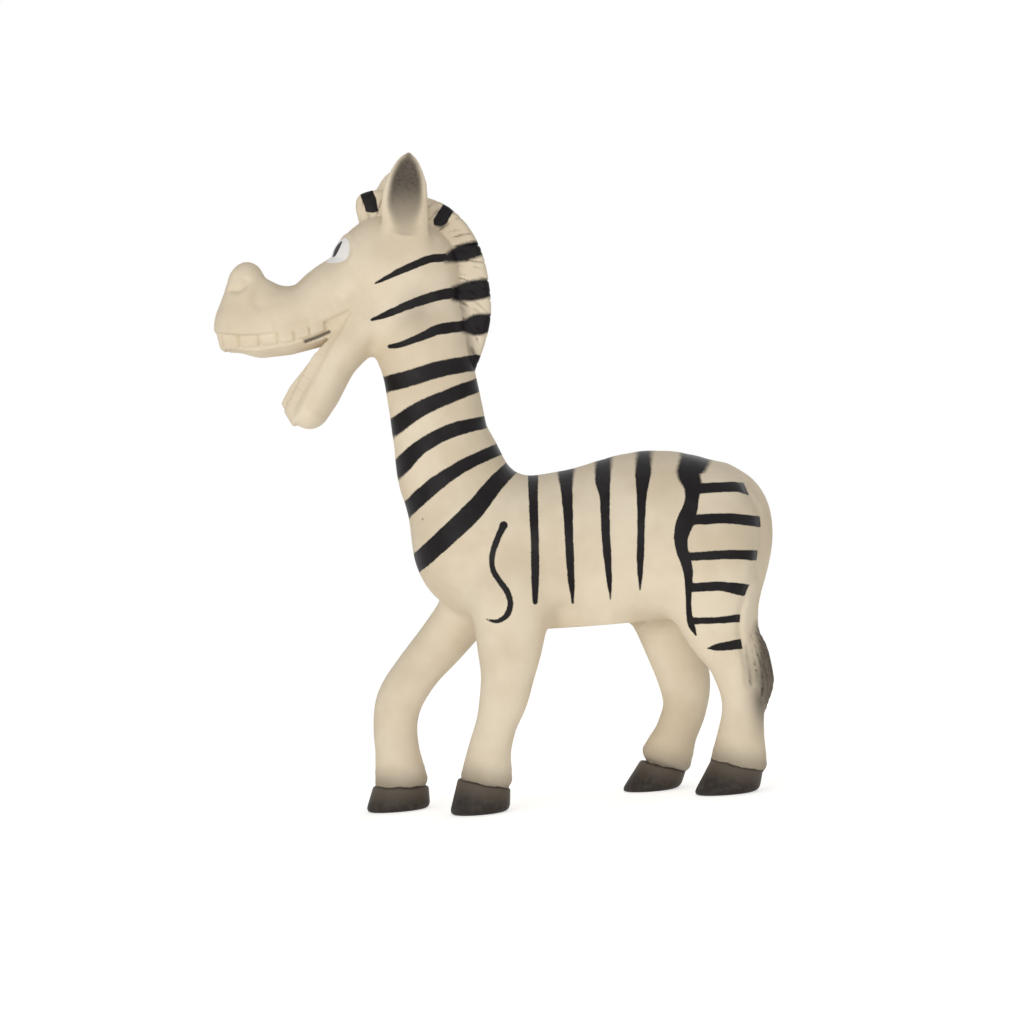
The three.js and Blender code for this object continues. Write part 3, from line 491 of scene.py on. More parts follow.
def mouth_form(jaw):
    """What the open mouth cuts away: below the upper lip and above the inclined rim of the jaw."""
    lip = catmull_rom([MOUTH_CORNER, *head_places(UPPER_LIP_SHARES)], 2 * (len(UPPER_LIP_SHARES) + 1))
    low = MOUTH_CORNER[1] - HEAD_LENGTH
    below = np.array([*lip, [lip[-1][0] - HEAD_LENGTH, low], [MOUTH_CORNER[0] + HEAD_LENGTH, low]])
    above = np.array([MOUTH_CORNER[0] + HEAD_LENGTH, MOUTH_CORNER[1]])
    region = np.vstack([below, above])

    def distance(points):
        flat = points[:, [0, 2]]
        rim = np.clip(-RIM_SLOPE * jaw(points), 0, RIM_HEIGHT)
        over_jaw = (flat - MOUTH_CORNER) @ JAW_OUT - rim
        return smooth_max(outline_distance(flat, region), -over_jaw, LIP_ROUND)

    return distance


# A row of teeth stands round an arch on a web of gum. Shares of its height at the tips run from the
# corner to the front, and shares of its length give each tooth's width from the middle back.
ARCH_POWER = 3
ARCH_STEPS = 48
ARCH_MARGIN = 4
ARCH_NARROW_SHARES = {"corner": 0.74, "open": 0.36}
CROWN_FADE_SHARES = (0.68, 0.97)
UPPER_ARCH = {
    "length": 42.1, "width": 20.5, "height": 8.2, "round": 1.2, "gap": 0.05, "root": 1.8, "slope": 0.08,
    "crown": 3.3, "inset": 1.4,
    "tip_shares": [0.25, 0.7, 0.82, 0.76, 0.63],
    "width_shares": [0.078, 0.129, 0.14, 0.127, 0.112, 0.106, 0.104],
}
LOWER_ARCH = {
    "length": 39.2, "width": 17.4, "height": 6.9, "round": 0.3, "gap": 0.1, "root": 0.6, "slope": 0.6,
    "crown": 0, "inset": 0.6,
    "tip_shares": [0.12, 0.26, 0.66, 0.93, 0.95],
    "width_shares": [0.09, 0.11, 0.1, 0.1, 0.1, 0.1, 0.1, 0.1, 0.1],
}


def arch_line(length, width):
    angle = (np.arange(ARCH_STEPS + 1) / ARCH_STEPS - 0.5) * math.pi

    def rounding(value):
        return np.sign(value) * np.abs(value) ** (2 / ARCH_POWER)

    forward = rounding(np.cos(angle))
    narrow = np.interp(forward, [0, ARCH_NARROW_SHARES["open"]], [ARCH_NARROW_SHARES["corner"], 1])
    return np.c_[length * forward, width / 2 * rounding(np.sin(angle)) * narrow]


def teeth_form(arch, angle, opens_up):
    """Blocks round an arch and the web of gum inside it, which is crowned across its middle."""
    forward = np.array([-math.cos(angle), 0, -math.sin(angle)])
    out = np.array([-math.sin(angle), 0, math.cos(angle)]) * (1 if opens_up else -1)
    origin = np.array([MOUTH_CORNER[0], 0, MOUTH_CORNER[1]])
    line = arch_line(arch["length"] - TOOTH_THICKNESS / 2, arch["width"] - TOOTH_THICKNESS)
    run = np.r_[0, np.cumsum(np.hypot(*np.diff(line, axis=0).T))]
    half_run = run[-1] / 2
    edges = half_run * np.r_[0, np.cumsum(arch["width_shares"])]
    tips = np.linspace(0, arch["length"], len(arch["tip_shares"]))

    def distance(points):
        offset = points - origin
        u, w, v = offset @ forward, offset @ out, offset[:, 1]
        gap, place = line_distance(np.c_[u, v], line)
        from_middle = np.abs(np.interp(place, np.arange(len(run)), run) - half_run)
        inner = np.abs(v) < np.interp(u, line[: ARCH_STEPS // 2 + 1, 0], -line[: ARCH_STEPS // 2 + 1, 1])
        away = np.where(inner, -gap, gap)
        tooth = np.clip(np.searchsorted(edges, from_middle) - 1, 0, len(edges) - 2)
        middle = (edges[tooth] + edges[tooth + 1]) / 2
        half = (edges[tooth + 1] - edges[tooth]) / 2
        past_tip = w - arch["height"] * np.interp(u, tips, arch["tip_shares"])
        past_root = -w - arch["root"]
        aside = np.abs(from_middle - middle) - half + arch["gap"]
        outer = away + arch["slope"] * np.maximum(w, 0) - TOOTH_THICKNESS / 2
        block = rounded([aside, outer, -away - TOOTH_THICKNESS / 2, past_tip, past_root], arch["round"])
        fade = 1 - smooth_step(u, *[share * arch["length"] for share in CROWN_FADE_SHARES])
        crown = arch["crown"] * fade * np.maximum(1 - (2 * v / arch["width"]) ** 2, 0) - WEB_DROP
        web = np.maximum.reduce([outer + arch["inset"], past_tip - crown, past_root])
        return smooth_min(block, web, LIP_ROUND)

    ends = [origin + forward * a + out * b for a in (0, arch["length"]) for b in (0, arch["height"])]
    margin = np.array([0, arch["width"] / 2, 0]) + ARCH_MARGIN
    return nearby(distance, np.min(ends, 0) - margin, np.max(ends, 0) + margin)


# The dark slit under the tips of the rear upper teeth, forward and up from the corner in head lengths
SLIT_SHARES = [[0.248, -0.142], [0.188, -0.125], [0.127, -0.102]]
SLIT_DEPTH = 1.8
SLIT_WIDTH = 0.7
SLIT_ACROSS = 5.5


# The legs. Each leg has its side, its hip's place along the torso, and rows of shares: up its height,
# back from the hip in leg heights, half-depth and half-width. Its hoof's sole and top lie back from
# the hip in leg heights, and the coronet at its top is tilted.
LEG_HEIGHT = BELLY_HEIGHT + HIP_RISE
LEG_SHARES = {
    "left_fore": {
        "side": -1,
        "hip": 0.153,
        "rows": [
            [1, 0, 0.86, 0.66], [0.79, -0.022, 0.7, 0.58], [0.645, -0.044, 0.57, 0.5],
            [0.532, -0.072, 0.515, 0.45], [0.403, -0.12, 0.435, 0.4], [0.29, -0.158, 0.46, 0.43],
            [0.17, -0.181, 0.545, 0.5],
        ],
        "sole": -0.228, "top": -0.198, "rise": 0.87, "tilt": 0.27,
        "sole_length": 0.485, "top_length": 0.435,
    },
    "right_fore": {
        "side": 1,
        "hip": -0.056,
        "rows": [
            [0.95, 0.02, 0.6, 0.6], [0.815, -0.105, 0.55, 0.55], [0.677, -0.24, 0.505, 0.48],
            [0.54, -0.337, 0.51, 0.45], [0.42, -0.366, 0.485, 0.44], [0.306, -0.366, 0.485, 0.46],
            [0.145, -0.357, 0.58, 0.5],
        ],
        "sole": -0.385, "top": -0.363, "rise": 0.73, "tilt": 0.07,
        "sole_length": 0.54, "top_length": 0.465,
    },
    "left_hind": {
        "side": -1,
        "hip": 0.972,
        "rows": [
            [1.065, 0, 1.07, 0.72], [0.806, 0.036, 0.76, 0.6], [0.637, 0.09, 0.53, 0.5],
            [0.468, 0.127, 0.465, 0.45], [0.371, 0.12, 0.45, 0.44], [0.258, 0.1, 0.505, 0.46],
            [0.145, 0.082, 0.6, 0.5],
        ],
        "sole": 0.008, "top": 0.067, "rise": 0.81, "tilt": 0.3,
        "sole_length": 0.535, "top_length": 0.455,
    },
    "right_hind": {
        "side": 1,
        "hip": 0.778,
        "rows": [
            [1, 0.02, 0.82, 0.72], [0.726, 0.08, 0.65, 0.6], [0.532, 0.124, 0.58, 0.5],
            [0.403, 0.118, 0.485, 0.45], [0.282, 0.067, 0.465, 0.46], [0.161, 0.007, 0.565, 0.5],
        ],
        "sole": -0.089, "top": -0.021, "rise": 0.72, "tilt": 0.33,
        "sole_length": 0.5, "top_length": 0.435,
    },
}
LEGS = list(LEG_SHARES.values())


def leg_x(leg, back):
    return torso_x(leg["hip"]) + back * LEG_HEIGHT


def leg_y(leg):
    return leg["side"] * STANCE / 2


def leg_form(leg):
    stations = [
        [leg_x(leg, back), leg_y(leg), up * LEG_HEIGHT, depth * LEG_DEPTH, width * LEG_WIDTH]
        for up, back, depth, width in leg["rows"]
    ]
    return limb(stations, None, HOOF_HEIGHT / 2)


def above_coronet(leg, points):
    """Height above the tilted line where the leg meets its hoof."""
    drop = leg["tilt"] * (points[:, 0] - leg_x(leg, leg["top"]))
    return points[:, 2] - leg["rise"] * HOOF_HEIGHT + drop


def hoof_form(leg):
    rise = leg["rise"] * HOOF_HEIGHT
    sole_x, top_x = leg_x(leg, leg["sole"]), leg_x(leg, leg["top"])
    sole_half, top_half = leg["sole_length"] * HOOF_LENGTH, leg["top_length"] * HOOF_LENGTH
    sole_width, top_width = HOOF_WIDTH / 2, top_half / sole_half * HOOF_WIDTH / 2

    def distance(points):
        x, y, z = points.T
        t = np.clip(z / rise, 0, None)
        u = x - sole_x - (top_x - sole_x) * t
        v = y - leg_y(leg)
        depth = sole_half + (top_half - sole_half) * t
        width = sole_width + (top_width - sole_width) * t
        near = np.hypot(u / depth, v / width)
        wall = near * (near - 1) / np.maximum(np.hypot(u / depth**2, v / width**2), TINY)
        closed = smooth_max(wall, above_coronet(leg, points), HOOF_ROUND)
        return smooth_max(closed, -z, SOLE_ROUND)

    centre = np.array([(sole_x + top_x) / 2, leg_y(leg), rise / 2])
    return nearby(distance, centre - HOOF_LENGTH, centre + HOOF_LENGTH)


def beside_hoof(leg, points):
    near = np.abs(points[:, 0] - leg_x(leg, leg["top"])) < HOOF_LENGTH
    return near & (points[:, 1] * leg["side"] > 0)


# The tail lies on the rump and the left hind leg and ends in a tuft. Each row of shares: back from
# the rump and up from the belly in torso depths, across the stance, and half-depth.
TAIL_SHARES = [
    [0.15, 0.838, 0, 0.5], [0.275, 0.757, 0, 0.5], [0.334, 0.64, -0.04, 0.5], [0.333, 0.48, -0.12, 0.5],
    [0.285, 0.26, -0.22, 0.5], [0.212, 0.06, -0.33, 0.48], [0.184, -0.1, -0.44, 0.46],
]
TUFT_SHARES = [
    [0.165, -0.1, -0.48, 0.34], [0.19, -0.26, -0.55, 0.5], [0.212, -0.4, -0.56, 0.47],
    [0.226, -0.56, -0.52, 0.14],
]
# Where the inner edge of the tail lies on the rump, in pixels of the photograph's frame
TAIL_EDGE = [
    [740, 466], [743, 479], [747.5, 492], [757.5, 509], [760.5, 522], [758.5, 548], [753, 575], [744, 598],
    [739.5, 621], [741, 640], [745, 660], [748, 684],
]
TAIL_EDGE_STEPS = 24
TAIL_START_SHARE = 0.8
TAIL_CREASE = {"depth": 0.85, "width": 1.5, "from_middle": (-1, -5)}
TUFT_STRANDS = {"depth": 0.8, "pitch": 1.5, "turn": 0.7}


def tail_stations(shares, size):
    return [
        [torso_x(1) + back * TORSO_DEPTH, across * STANCE, torso_z(up), half * size, half * size]
        for back, up, across, half in shares
    ]


def tail_form():
    return limb(tail_stations(TAIL_SHARES, TAIL_DEPTH))


def tuft_form():
    return limb(tail_stations(TUFT_SHARES, TUFT_DEPTH))


def tuft_strands(points):
    """Grooves that run down the tuft and come and go."""
    x, y, z = points.T
    rows = np.array(tail_stations(TUFT_SHARES, TUFT_DEPTH))[::-1]
    middle_x, middle_y = [np.interp(z, rows[:, 2], rows[:, n]) for n in (0, 1)]
    aside = x - middle_x + TUFT_STRANDS["turn"] * (y - middle_y)
    wave = np.sin(2 * math.pi * aside / TUFT_STRANDS["pitch"] + 1.3 * np.sin(0.16 * z + 0.5 * aside))
    patch = 0.6 + 0.4 * np.sin(0.45 * z + 2.2 * aside)
    return np.maximum(wave, 0) ** 3 * patch


# An ear is a leaf with its hollow turned outward. Each row of shares: up its length, half-width,
# backward lean in ear lengths and thickness.
EAR_ROOT_SHARES = {"left": -0.008, "right": 0.068, "up": 0.208}
EAR_SHARES = [
    [-0.15, 0.46, -0.05, 1.1], [0.17, 0.53, -0.055, 1], [0.4, 0.54, -0.05, 0.92],
    [0.63, 0.48, -0.015, 0.8], [0.85, 0.3, 0.018, 0.58], [1, 0.09, 0.045, 0.32],
]
# The hollow of an ear. Each row of shares: up its length, half-width and depth in ear thicknesses.
SCOOP_SHARES = [
    [0.16, 0.14, 0.06], [0.3, 0.27, 0.24], [0.48, 0.37, 0.45], [0.7, 0.33, 0.45], [0.86, 0.22, 0.3],
    [0.96, 0.07, 0.12],
]
SCOOP_ROUND = 1.6


def ear_place(side, up, lean, outward):
    forward = EAR_ROOT_SHARES["left" if side < 0 else "right"]
    rise = up * EAR_LENGTH
    return [
        head_x(forward) + lean * EAR_LENGTH,
        side * (EAR_SPREAD / 2 + rise * math.sin(EAR_SPLAY) + outward * math.cos(EAR_SPLAY)),
        head_z(EAR_ROOT_SHARES["up"]) + rise * math.cos(EAR_SPLAY) - outward * math.sin(EAR_SPLAY),
    ]


def ear_form(side):
    rows = [
        [*ear_place(side, up, lean, 0), half * EAR_WIDTH, thick * EAR_THICKNESS / 2]
        for up, half, lean, thick in EAR_SHARES
    ]
    return limb(rows, EAR_THICKNESS / 2)


def scoop_form(side):
    """The hollow of an ear, open outward."""
    ups, _, leans, thicks = np.array(EAR_SHARES).T
    rows = []
    for up, half, depth in SCOOP_SHARES:
        outward = np.interp(up, ups, thicks) * EAR_THICKNESS / 2
        place = ear_place(side, up, np.interp(up, ups, leans), outward)
        rows.append([*place, half * EAR_WIDTH, depth * EAR_THICKNESS])
    return limb(rows, EAR_RIM, EAR_RIM)


# The mane is an upright crest from the forelock over the poll and down the neck. Shares are forward
# and up from the poll in neck heights: its outer edge, and its root inside the head and neck.
MANE_EDGE_SHARES = [
    [0.195, 0.259], [0.207, 0.33], [0.192, 0.375], [0.12, 0.393], [0.01, 0.375], [-0.083, 0.347],
    [-0.162, 0.307], [-0.238, 0.222], [-0.288, 0.105], [-0.306, -0.039], [-0.303, -0.139], [-0.284, -0.217],
    [-0.247, -0.308], [-0.22, -0.363],
]
MANE_ROOT_SHARES = [[-0.1, -0.395], [-0.07, -0.15], [0.02, 0.06], [0.12, 0.2]]
MANE_EDGE_STEPS = 30
STRAND_CENTRE_SHARES = {"forward": 0.06, "up": -0.02}
STRAND_PITCH = 3.1
STRAND_RADIUS = 28
STRAND_SLANT = 0.55
MANE_TAPER = 0.7
MANE_TAPER_REACH = 8
GROOVE_REACH = 1.5


def strand_grooves(x, z):
    """Shallow strokes that run outward from the poll and come and go along their length."""
    centre_x = POLL_X - STRAND_CENTRE_SHARES["forward"] * NECK_HEIGHT
    centre_z = POLL_Z + STRAND_CENTRE_SHARES["up"] * NECK_HEIGHT
    radius = np.hypot(x - centre_x, z - centre_z)
    turn = np.arctan2(z - centre_z, x - centre_x) + STRAND_SLANT * (radius / STRAND_RADIUS - 1)
    q = turn * STRAND_RADIUS
    wave = np.sin(2 * math.pi * q / STRAND_PITCH + 1.2 * np.sin(0.33 * radius + 0.9 * q))
    patch = 0.5 + 0.5 * np.sin(0.83 * q + 0.61 * radius) * np.sin(0.41 * q - 0.37 * radius + 1)
    return np.maximum(wave, 0) ** 6 * np.clip(2.4 * patch - 0.7, 0, 1)


def mane_outline():
    def place(shares):
        return [POLL_X - shares[0] * NECK_HEIGHT, POLL_Z + shares[1] * NECK_HEIGHT]

    edge = catmull_rom([place(row) for row in MANE_EDGE_SHARES], MANE_EDGE_STEPS)
    return np.array([*edge, *[place(row) for row in MANE_ROOT_SHARES]])


def mane_form():
    outline = mane_outline()

    def distance(points):
        x, y, z = points.T
        inset = outline_distance(np.c_[x, z], outline)
        half = MANE_THICKNESS / 2 - MANE_TAPER * smooth_step(inset, -MANE_TAPER_REACH, 0)
        grooves = GROOVE_DEPTH * strand_grooves(x, z) * smooth_step(-inset, -1, GROOVE_REACH)
        return rounded([inset, np.abs(y) - half], MANE_ROUND) + grooves

    low = np.array([outline[:, 0].min(), -MANE_THICKNESS, outline[:, 1].min()]) - REACH
    high = np.array([outline[:, 0].max(), MANE_THICKNESS, outline[:, 1].max()]) + REACH
    return nearby(distance, low, high)


def seat_forms():
    """The flat pad under the belly and the stepped bore that the squeaker sits in."""
    bottom = BELLY_HEIGHT - PAD_PROUD

    def bar(radius, low, high, round_edge):
        def distance(points):
            x, y, z = points.T
            return rounded([np.hypot(x, y) - radius, low - z, z - high], round_edge)

        reach = np.array([radius, radius, 0]) + REACH
        return nearby(distance, np.array([0, 0, low]) - reach, np.array([0, 0, high]) + reach)

    steps = [
        (PAD_RADIUS + PAD_FILLET / 2, bottom), (FLANGE_BORE_RADIUS, bottom + FLANGE_BORE_DEPTH),
        (BORE_RADIUS, bottom + BORE_DEPTH),
    ]
    bores = [bar(radius, bottom - BORE_DEPTH, top, BORE_ROUND) for radius, top in steps]
    return bar(PAD_RADIUS, bottom, bottom + BORE_DEPTH, PAD_ROUND), bores


def crease_groove(points, line, depth, width):
    """A shallow groove along a line in the XZ plane."""
    gap, _ = line_distance(points[:, [0, 2]], line)
    return depth * np.exp(-((gap / width) ** 2) * 2)


def left_side(points):
    """The points, with those of the right side mirrored onto the left."""
    return np.c_[points[:, 0], -np.abs(points[:, 1]), points[:, 2]]


def tail_crease(points):
    """The shallow valley between the tail and the rump, on both sides."""
    left = left_side(points)
    gap, _ = line_distance(photo_places(left) * PIXEL, catmull_rom(TAIL_EDGE, TAIL_EDGE_STEPS) * PIXEL)
    aside = smooth_step(left[:, 1], *TAIL_CREASE["from_middle"])
    return TAIL_CREASE["depth"] * np.exp(-2 * (gap / TAIL_CREASE["width"]) ** 2) * aside


def face_relief():
    """What the lids raise on the face and its creases sink, as a change of distance."""
    creases = [
        (head_places(CREASE_SHARES, POLL), CREASE_DEPTH, CREASE_WIDTH),
        (head_places(NOSE_FOLD_SHARES, POLL), NOSE_FOLD_DEPTH, NOSE_FOLD_WIDTH),
        (head_places(LIP_FOLD_SHARES), FOLD_DEPTH, FOLD_WIDTH),
    ]

    def change(points):
        return sum(crease_groove(points, *crease) for crease in creases) - eye_relief(points)

    return change


def skin_form():
    body = blend([torso_form(), neck_form(), *map(leg_form, LEGS)], BODY_FILLET)
    jaw = jaw_form()
    head = blend([blend([skull_form(), nose_form()], NOSE_FILLET), jaw], HEAD_FILLET)
    mouth, mane, tail, tuft = mouth_form(jaw), mane_form(), tail_form(), tuft_form()
    lobes, ears, scoops = [[form(side) for side in SIDES] for form in (lobe_form, ear_form, scoop_form)]
    hooves = [hoof_form(leg) for leg in LEGS]
    upper = teeth_form(UPPER_ARCH, LIP_ANGLE, False)
    lower = teeth_form(LOWER_ARCH, GAPE_ANGLE, True)
    pad, bores = seat_forms()
    relief = face_relief()
    slit, web = head_places(SLIT_SHARES), head_places(CORNER_WEB_SHARES)

    def distance(points):
        skull = head(points)
        total = smooth_min(body(points), skull, THROAT_FILLET)
        face = np.flatnonzero((points[:, 0] < POLL_X) & (np.abs(total) < REACH / 2))
        if len(face):
            part = points[face]
            for lobe in lobes:
                total[face] = smooth_min(total[face], lobe(part), LOBE_FILLET)
            total[face] += relief(part)
        behind = np.flatnonzero((points[:, 0] > torso_x(TAIL_START_SHARE)) & (np.abs(total) < REACH / 2))
        total = smooth_min(total, tail(points), TAIL_FILLET)
        if len(behind):
            total[behind] += tail_crease(points[behind])
        tufted = tuft(points)
        close = np.abs(tufted) < REACH / 2
        tufted[close] += TUFT_STRANDS["depth"] * tuft_strands(points[close])
        total = smooth_min(total, tufted, TUFT_FILLET)
        for ear in ears:
            total = smooth_min(total, ear(points), EAR_FILLET)
        for scoop in scoops:
            total = smooth_max(total, -scoop(points), SCOOP_ROUND)
        total = smooth_min(total, mane(points), MANE_FILLET)
        for hoof in hooves:
            total = smooth_min(total, hoof(points), CORONET_FILLET)
        total = smooth_max(total, -mouth(points), LIP_ROUND)
        inner = np.flatnonzero(np.all(np.abs(points[:, [0, 2]] - MOUTH_CORNER) < HEAD_LENGTH / 3, axis=1))
        if len(inner):
            flap = np.maximum(skull[inner] + WEB_INSET, outline_distance(points[inner][:, [0, 2]], web))
            total[inner] = smooth_min(total[inner], flap, LIP_ROUND)
        total = smooth_min(total, upper(points), UPPER_GUM_FILLET)
        total = smooth_min(total, lower(points), LOWER_GUM_FILLET)
        outer = smooth_step(np.abs(points[inner, 1]), SLIT_ACROSS, SLIT_ACROSS + SLIT_DEPTH)
        total[inner] += outer * crease_groove(points[inner], slit, SLIT_DEPTH, SLIT_WIDTH)
        total = smooth_min(total, pad(points), PAD_FILLET)
        for bore in bores:
            total = np.maximum(total, -bore(points))
        return np.maximum(total, -points[:, 2])

    return distance


# The surface: one corner in each grid cell that it crosses, pulled onto it, and a four-sided face
# round each grid edge that it crosses
CHUNK = 20000
BLOCK = 4
BLOCK_REACH = 1.3
SLOPE_STEP = 0.01
CORNERS = np.array([[0, 0, 0], [1, 0, 0], [1, 1, 0], [0, 1, 0], [0, 0, 1], [1, 0, 1], [1, 1, 1], [0, 1, 1]])
EDGES = [(0, 1), (1, 2), (2, 3), (3, 0), (4, 5), (5, 6), (6, 7), (7, 4), (0, 4), (1, 5), (2, 6), (3, 7)]
CELLS_ROUND_EDGE = [
    ((1, 0, 0), [(0, 0, 0), (0, 1, 0), (0, 1, 1), (0, 0, 1)]),
    ((0, 1, 0), [(0, 0, 0), (0, 0, 1), (1, 0, 1), (1, 0, 0)]),
    ((0, 0, 1), [(0, 0, 0), (1, 0, 0), (1, 1, 0), (0, 1, 0)]),
]


def measure(form, points):
    """The form's distances, worked out in chunks side by side."""
    chunks = [points[i : i + CHUNK] for i in range(0, len(points), CHUNK)]
    with ThreadPoolExecutor() as pool:
        return np.concatenate(list(pool.map(form, chunks)))


def slopes(form, points):
    out = np.empty_like(points)
    for axis in range(3):
        shift = np.zeros(3)
        shift[axis] = SLOPE_STEP
        out[:, axis] = (measure(form, points + shift) - measure(form, points - shift)) / (2 * SLOPE_STEP)
    return out


def grid_places(grids, numbers):
    return np.stack([grid[numbers[:, n]] for n, grid in enumerate(grids)], 1)


def node_values(form, grids):
    """The form at the grid's nodes near its surface, and nan elsewhere."""
    coarse = [np.r_[grid[:-1:BLOCK], grid[-1]] for grid in grids]
    middle, half = [
        np.stack(np.meshgrid(*lines, indexing="ij"), -1)
        for lines in ([(c[1:] + c[:-1]) / 2 for c in coarse], [np.diff(c) / 2 for c in coarse])
    ]
    value = measure(form, middle.reshape(-1, 3)).reshape(middle.shape[:3])
    near = np.zeros([len(grid) for grid in grids], bool)
    for i, j, k in np.argwhere(np.abs(value) < BLOCK_REACH * np.linalg.norm(half, axis=-1) + 1) * BLOCK:
        near[i : i + BLOCK + 1, j : j + BLOCK + 1, k : k + BLOCK + 1] = True
    places = np.argwhere(near)
    values = np.full(near.shape, np.nan)
    values[near] = measure(form, grid_places(grids, places))
    return values


def surface(form, grids):
    values = node_values(form, grids)
    shape = np.array(values.shape)
    known = ~np.isnan(values)
    inside = values < 0
    parts = [tuple(slice(c, n - 1 + c) for c, n in zip(corner, shape)) for corner in CORNERS]
    count = sum(inside[part].astype(np.int8) for part in parts)
    whole = np.logical_and.reduce([known[part] for part in parts])
    cells = np.argwhere(whole & (count > 0) & (count < len(CORNERS)))
    number = np.full(shape, -1)
    number[tuple(cells.T)] = np.arange(len(cells))

    corner_values = np.stack([values[tuple((cells + corner).T)] for corner in CORNERS], 1)
    corner_places = np.stack([grid_places(grids, cells + corner) for corner in CORNERS], 1)
    total = np.zeros((len(cells), 3))
    crossings = np.zeros(len(cells))
    for a, b in EDGES:
        va, vb = corner_values[:, a], corner_values[:, b]
        crosses = (va < 0) != (vb < 0)
        share = np.where(crosses, va / np.where(crosses, va - vb, 1), 0)[:, None]
        place = corner_places[:, a] + (corner_places[:, b] - corner_places[:, a]) * share
        total += np.where(crosses[:, None], place, 0)
        crossings += crosses
    points = total / crossings[:, None]

    low, high = corner_places[:, 0], corner_places[:, 6]
    slope = slopes(form, points)
    pull = measure(form, points) / np.maximum((slope**2).sum(1), TINY)
    points = np.clip(points - slope * pull[:, None], low, high)

    faces = []
    for step, around in CELLS_ROUND_EDGE:
        here = tuple(slice(0, n - s) for n, s in zip(shape, step))
        there = tuple(slice(s, None) for s in step)
        nodes = np.argwhere(known[here] & known[there] & (inside[here] != inside[there]))
        nodes = nodes[(nodes > 0).all(1)]
        ring = np.stack([number[tuple((nodes - back).T)] for back in around], 1)
        outward = inside[tuple(nodes.T)]
        ring[~outward] = ring[~outward][:, ::-1]
        faces.append(ring[(ring >= 0).all(1)])
    return points, np.concatenate(faces)


SMOOTH_ROUNDS = 12
SMOOTH_SHARE = 0.5


def plain_skin(points):
    """Where the skin has no small features: not the mouth, ears, mane, hooves, tuft or squeaker's seat."""
    x, y, z = points.T
    mouth = (x < MOUTH_CORNER[0] + LOBE_SIZE) & (z < MOUTH_CORNER[1] + LOBE_SIZE)
    ears = (np.abs(y) > (EAR_SPREAD - EAR_THICKNESS) / 2) & (z > head_z(EAR_ROOT_SHARES["up"]))
    on_crest = (z > NECK_BASE_Z) & (x > head_x(EYE_SHARES["forward"] / 2))
    mane = (np.abs(y) < MANE_THICKNESS / 2 + 1) & on_crest
    hooves = z < 1.3 * HOOF_HEIGHT
    tuft = (x > torso_x(1)) & (z < torso_z(0.1))
    seat = (np.hypot(x, y) < PAD_RADIUS + PAD_FILLET) & (z < BELLY_HEIGHT + BORE_DEPTH + PAD_FILLET)
    return ~(mouth | ears | mane | hooves | tuft | seat)


def evened(points, faces, where):
    """Moves each point that may move toward the middle of its neighbours, a few times over."""
    start, end = np.vstack([faces[:, [n, (n + 1) % 4]] for n in range(4)]).T
    count = np.bincount(start, minlength=len(points))[:, None]
    share = SMOOTH_SHARE * where[:, None]
    for _ in range(SMOOTH_ROUNDS):
        total = np.stack([np.bincount(start, points[end, n], len(points)) for n in range(3)], 1)
        points = points + share * (total / count - points)
    return points


def grid_lines(start, end, step):
    count = math.ceil((end - start) / step)
    return start + (end - start) * np.arange(count + 1) / count


# Room round the skin, and how far the fine part reaches below and above the poll in head lengths
GRID_MARGIN = 4
FINE_SHARES = {"down": 0.8, "up": 0.7}


def skin_grids():
    front, back = head_x(1) - GRID_MARGIN - 1, torso_x(1) + RUMP_CAP + TAIL_DEPTH + GRID_MARGIN
    side = TORSO_WIDTH / 2 + GRID_MARGIN
    chin, crown = POLL_Z - FINE_SHARES["down"] * HEAD_LENGTH, POLL_Z + FINE_SHARES["up"] * HEAD_LENGTH
    neck = POLL_X + NECK_DEPTH / 4
    xs = np.r_[grid_lines(front, neck, HEAD_STEP), grid_lines(neck, back, BODY_STEP)[1:]]
    zs = np.r_[grid_lines(-2 * BODY_STEP, chin, BODY_STEP), grid_lines(chin, crown, HEAD_STEP)[1:]]
    return xs, grid_lines(-side, side, CROSS_STEP), zs


def camera_axes():
    a, e, r = CAMERA_AZIMUTH, CAMERA_ELEVATION, CAMERA_ROLL
    back = np.array([math.sin(a) * math.cos(e), -math.cos(a) * math.cos(e), math.sin(e)])
    level = np.cross([0, 0, 1], back)
    level /= np.linalg.norm(level)
    up = np.cross(back, level)
    return level * math.cos(r) + up * math.sin(r), up * math.cos(r) - level * math.sin(r), back


def photo_places(points):
    """Where points fall in the photograph's frame, in pixels from its left and its top."""
    right, up, back = camera_axes()
    ray = points - AIM - back * CAMERA_DISTANCE
    depth = -(ray @ back)
    across, down = [PHOTO_SIZE / 2 + PIXELS_PER_SLOPE * (ray @ axis) / depth for axis in (right, -up)]
    return np.c_[across, down]


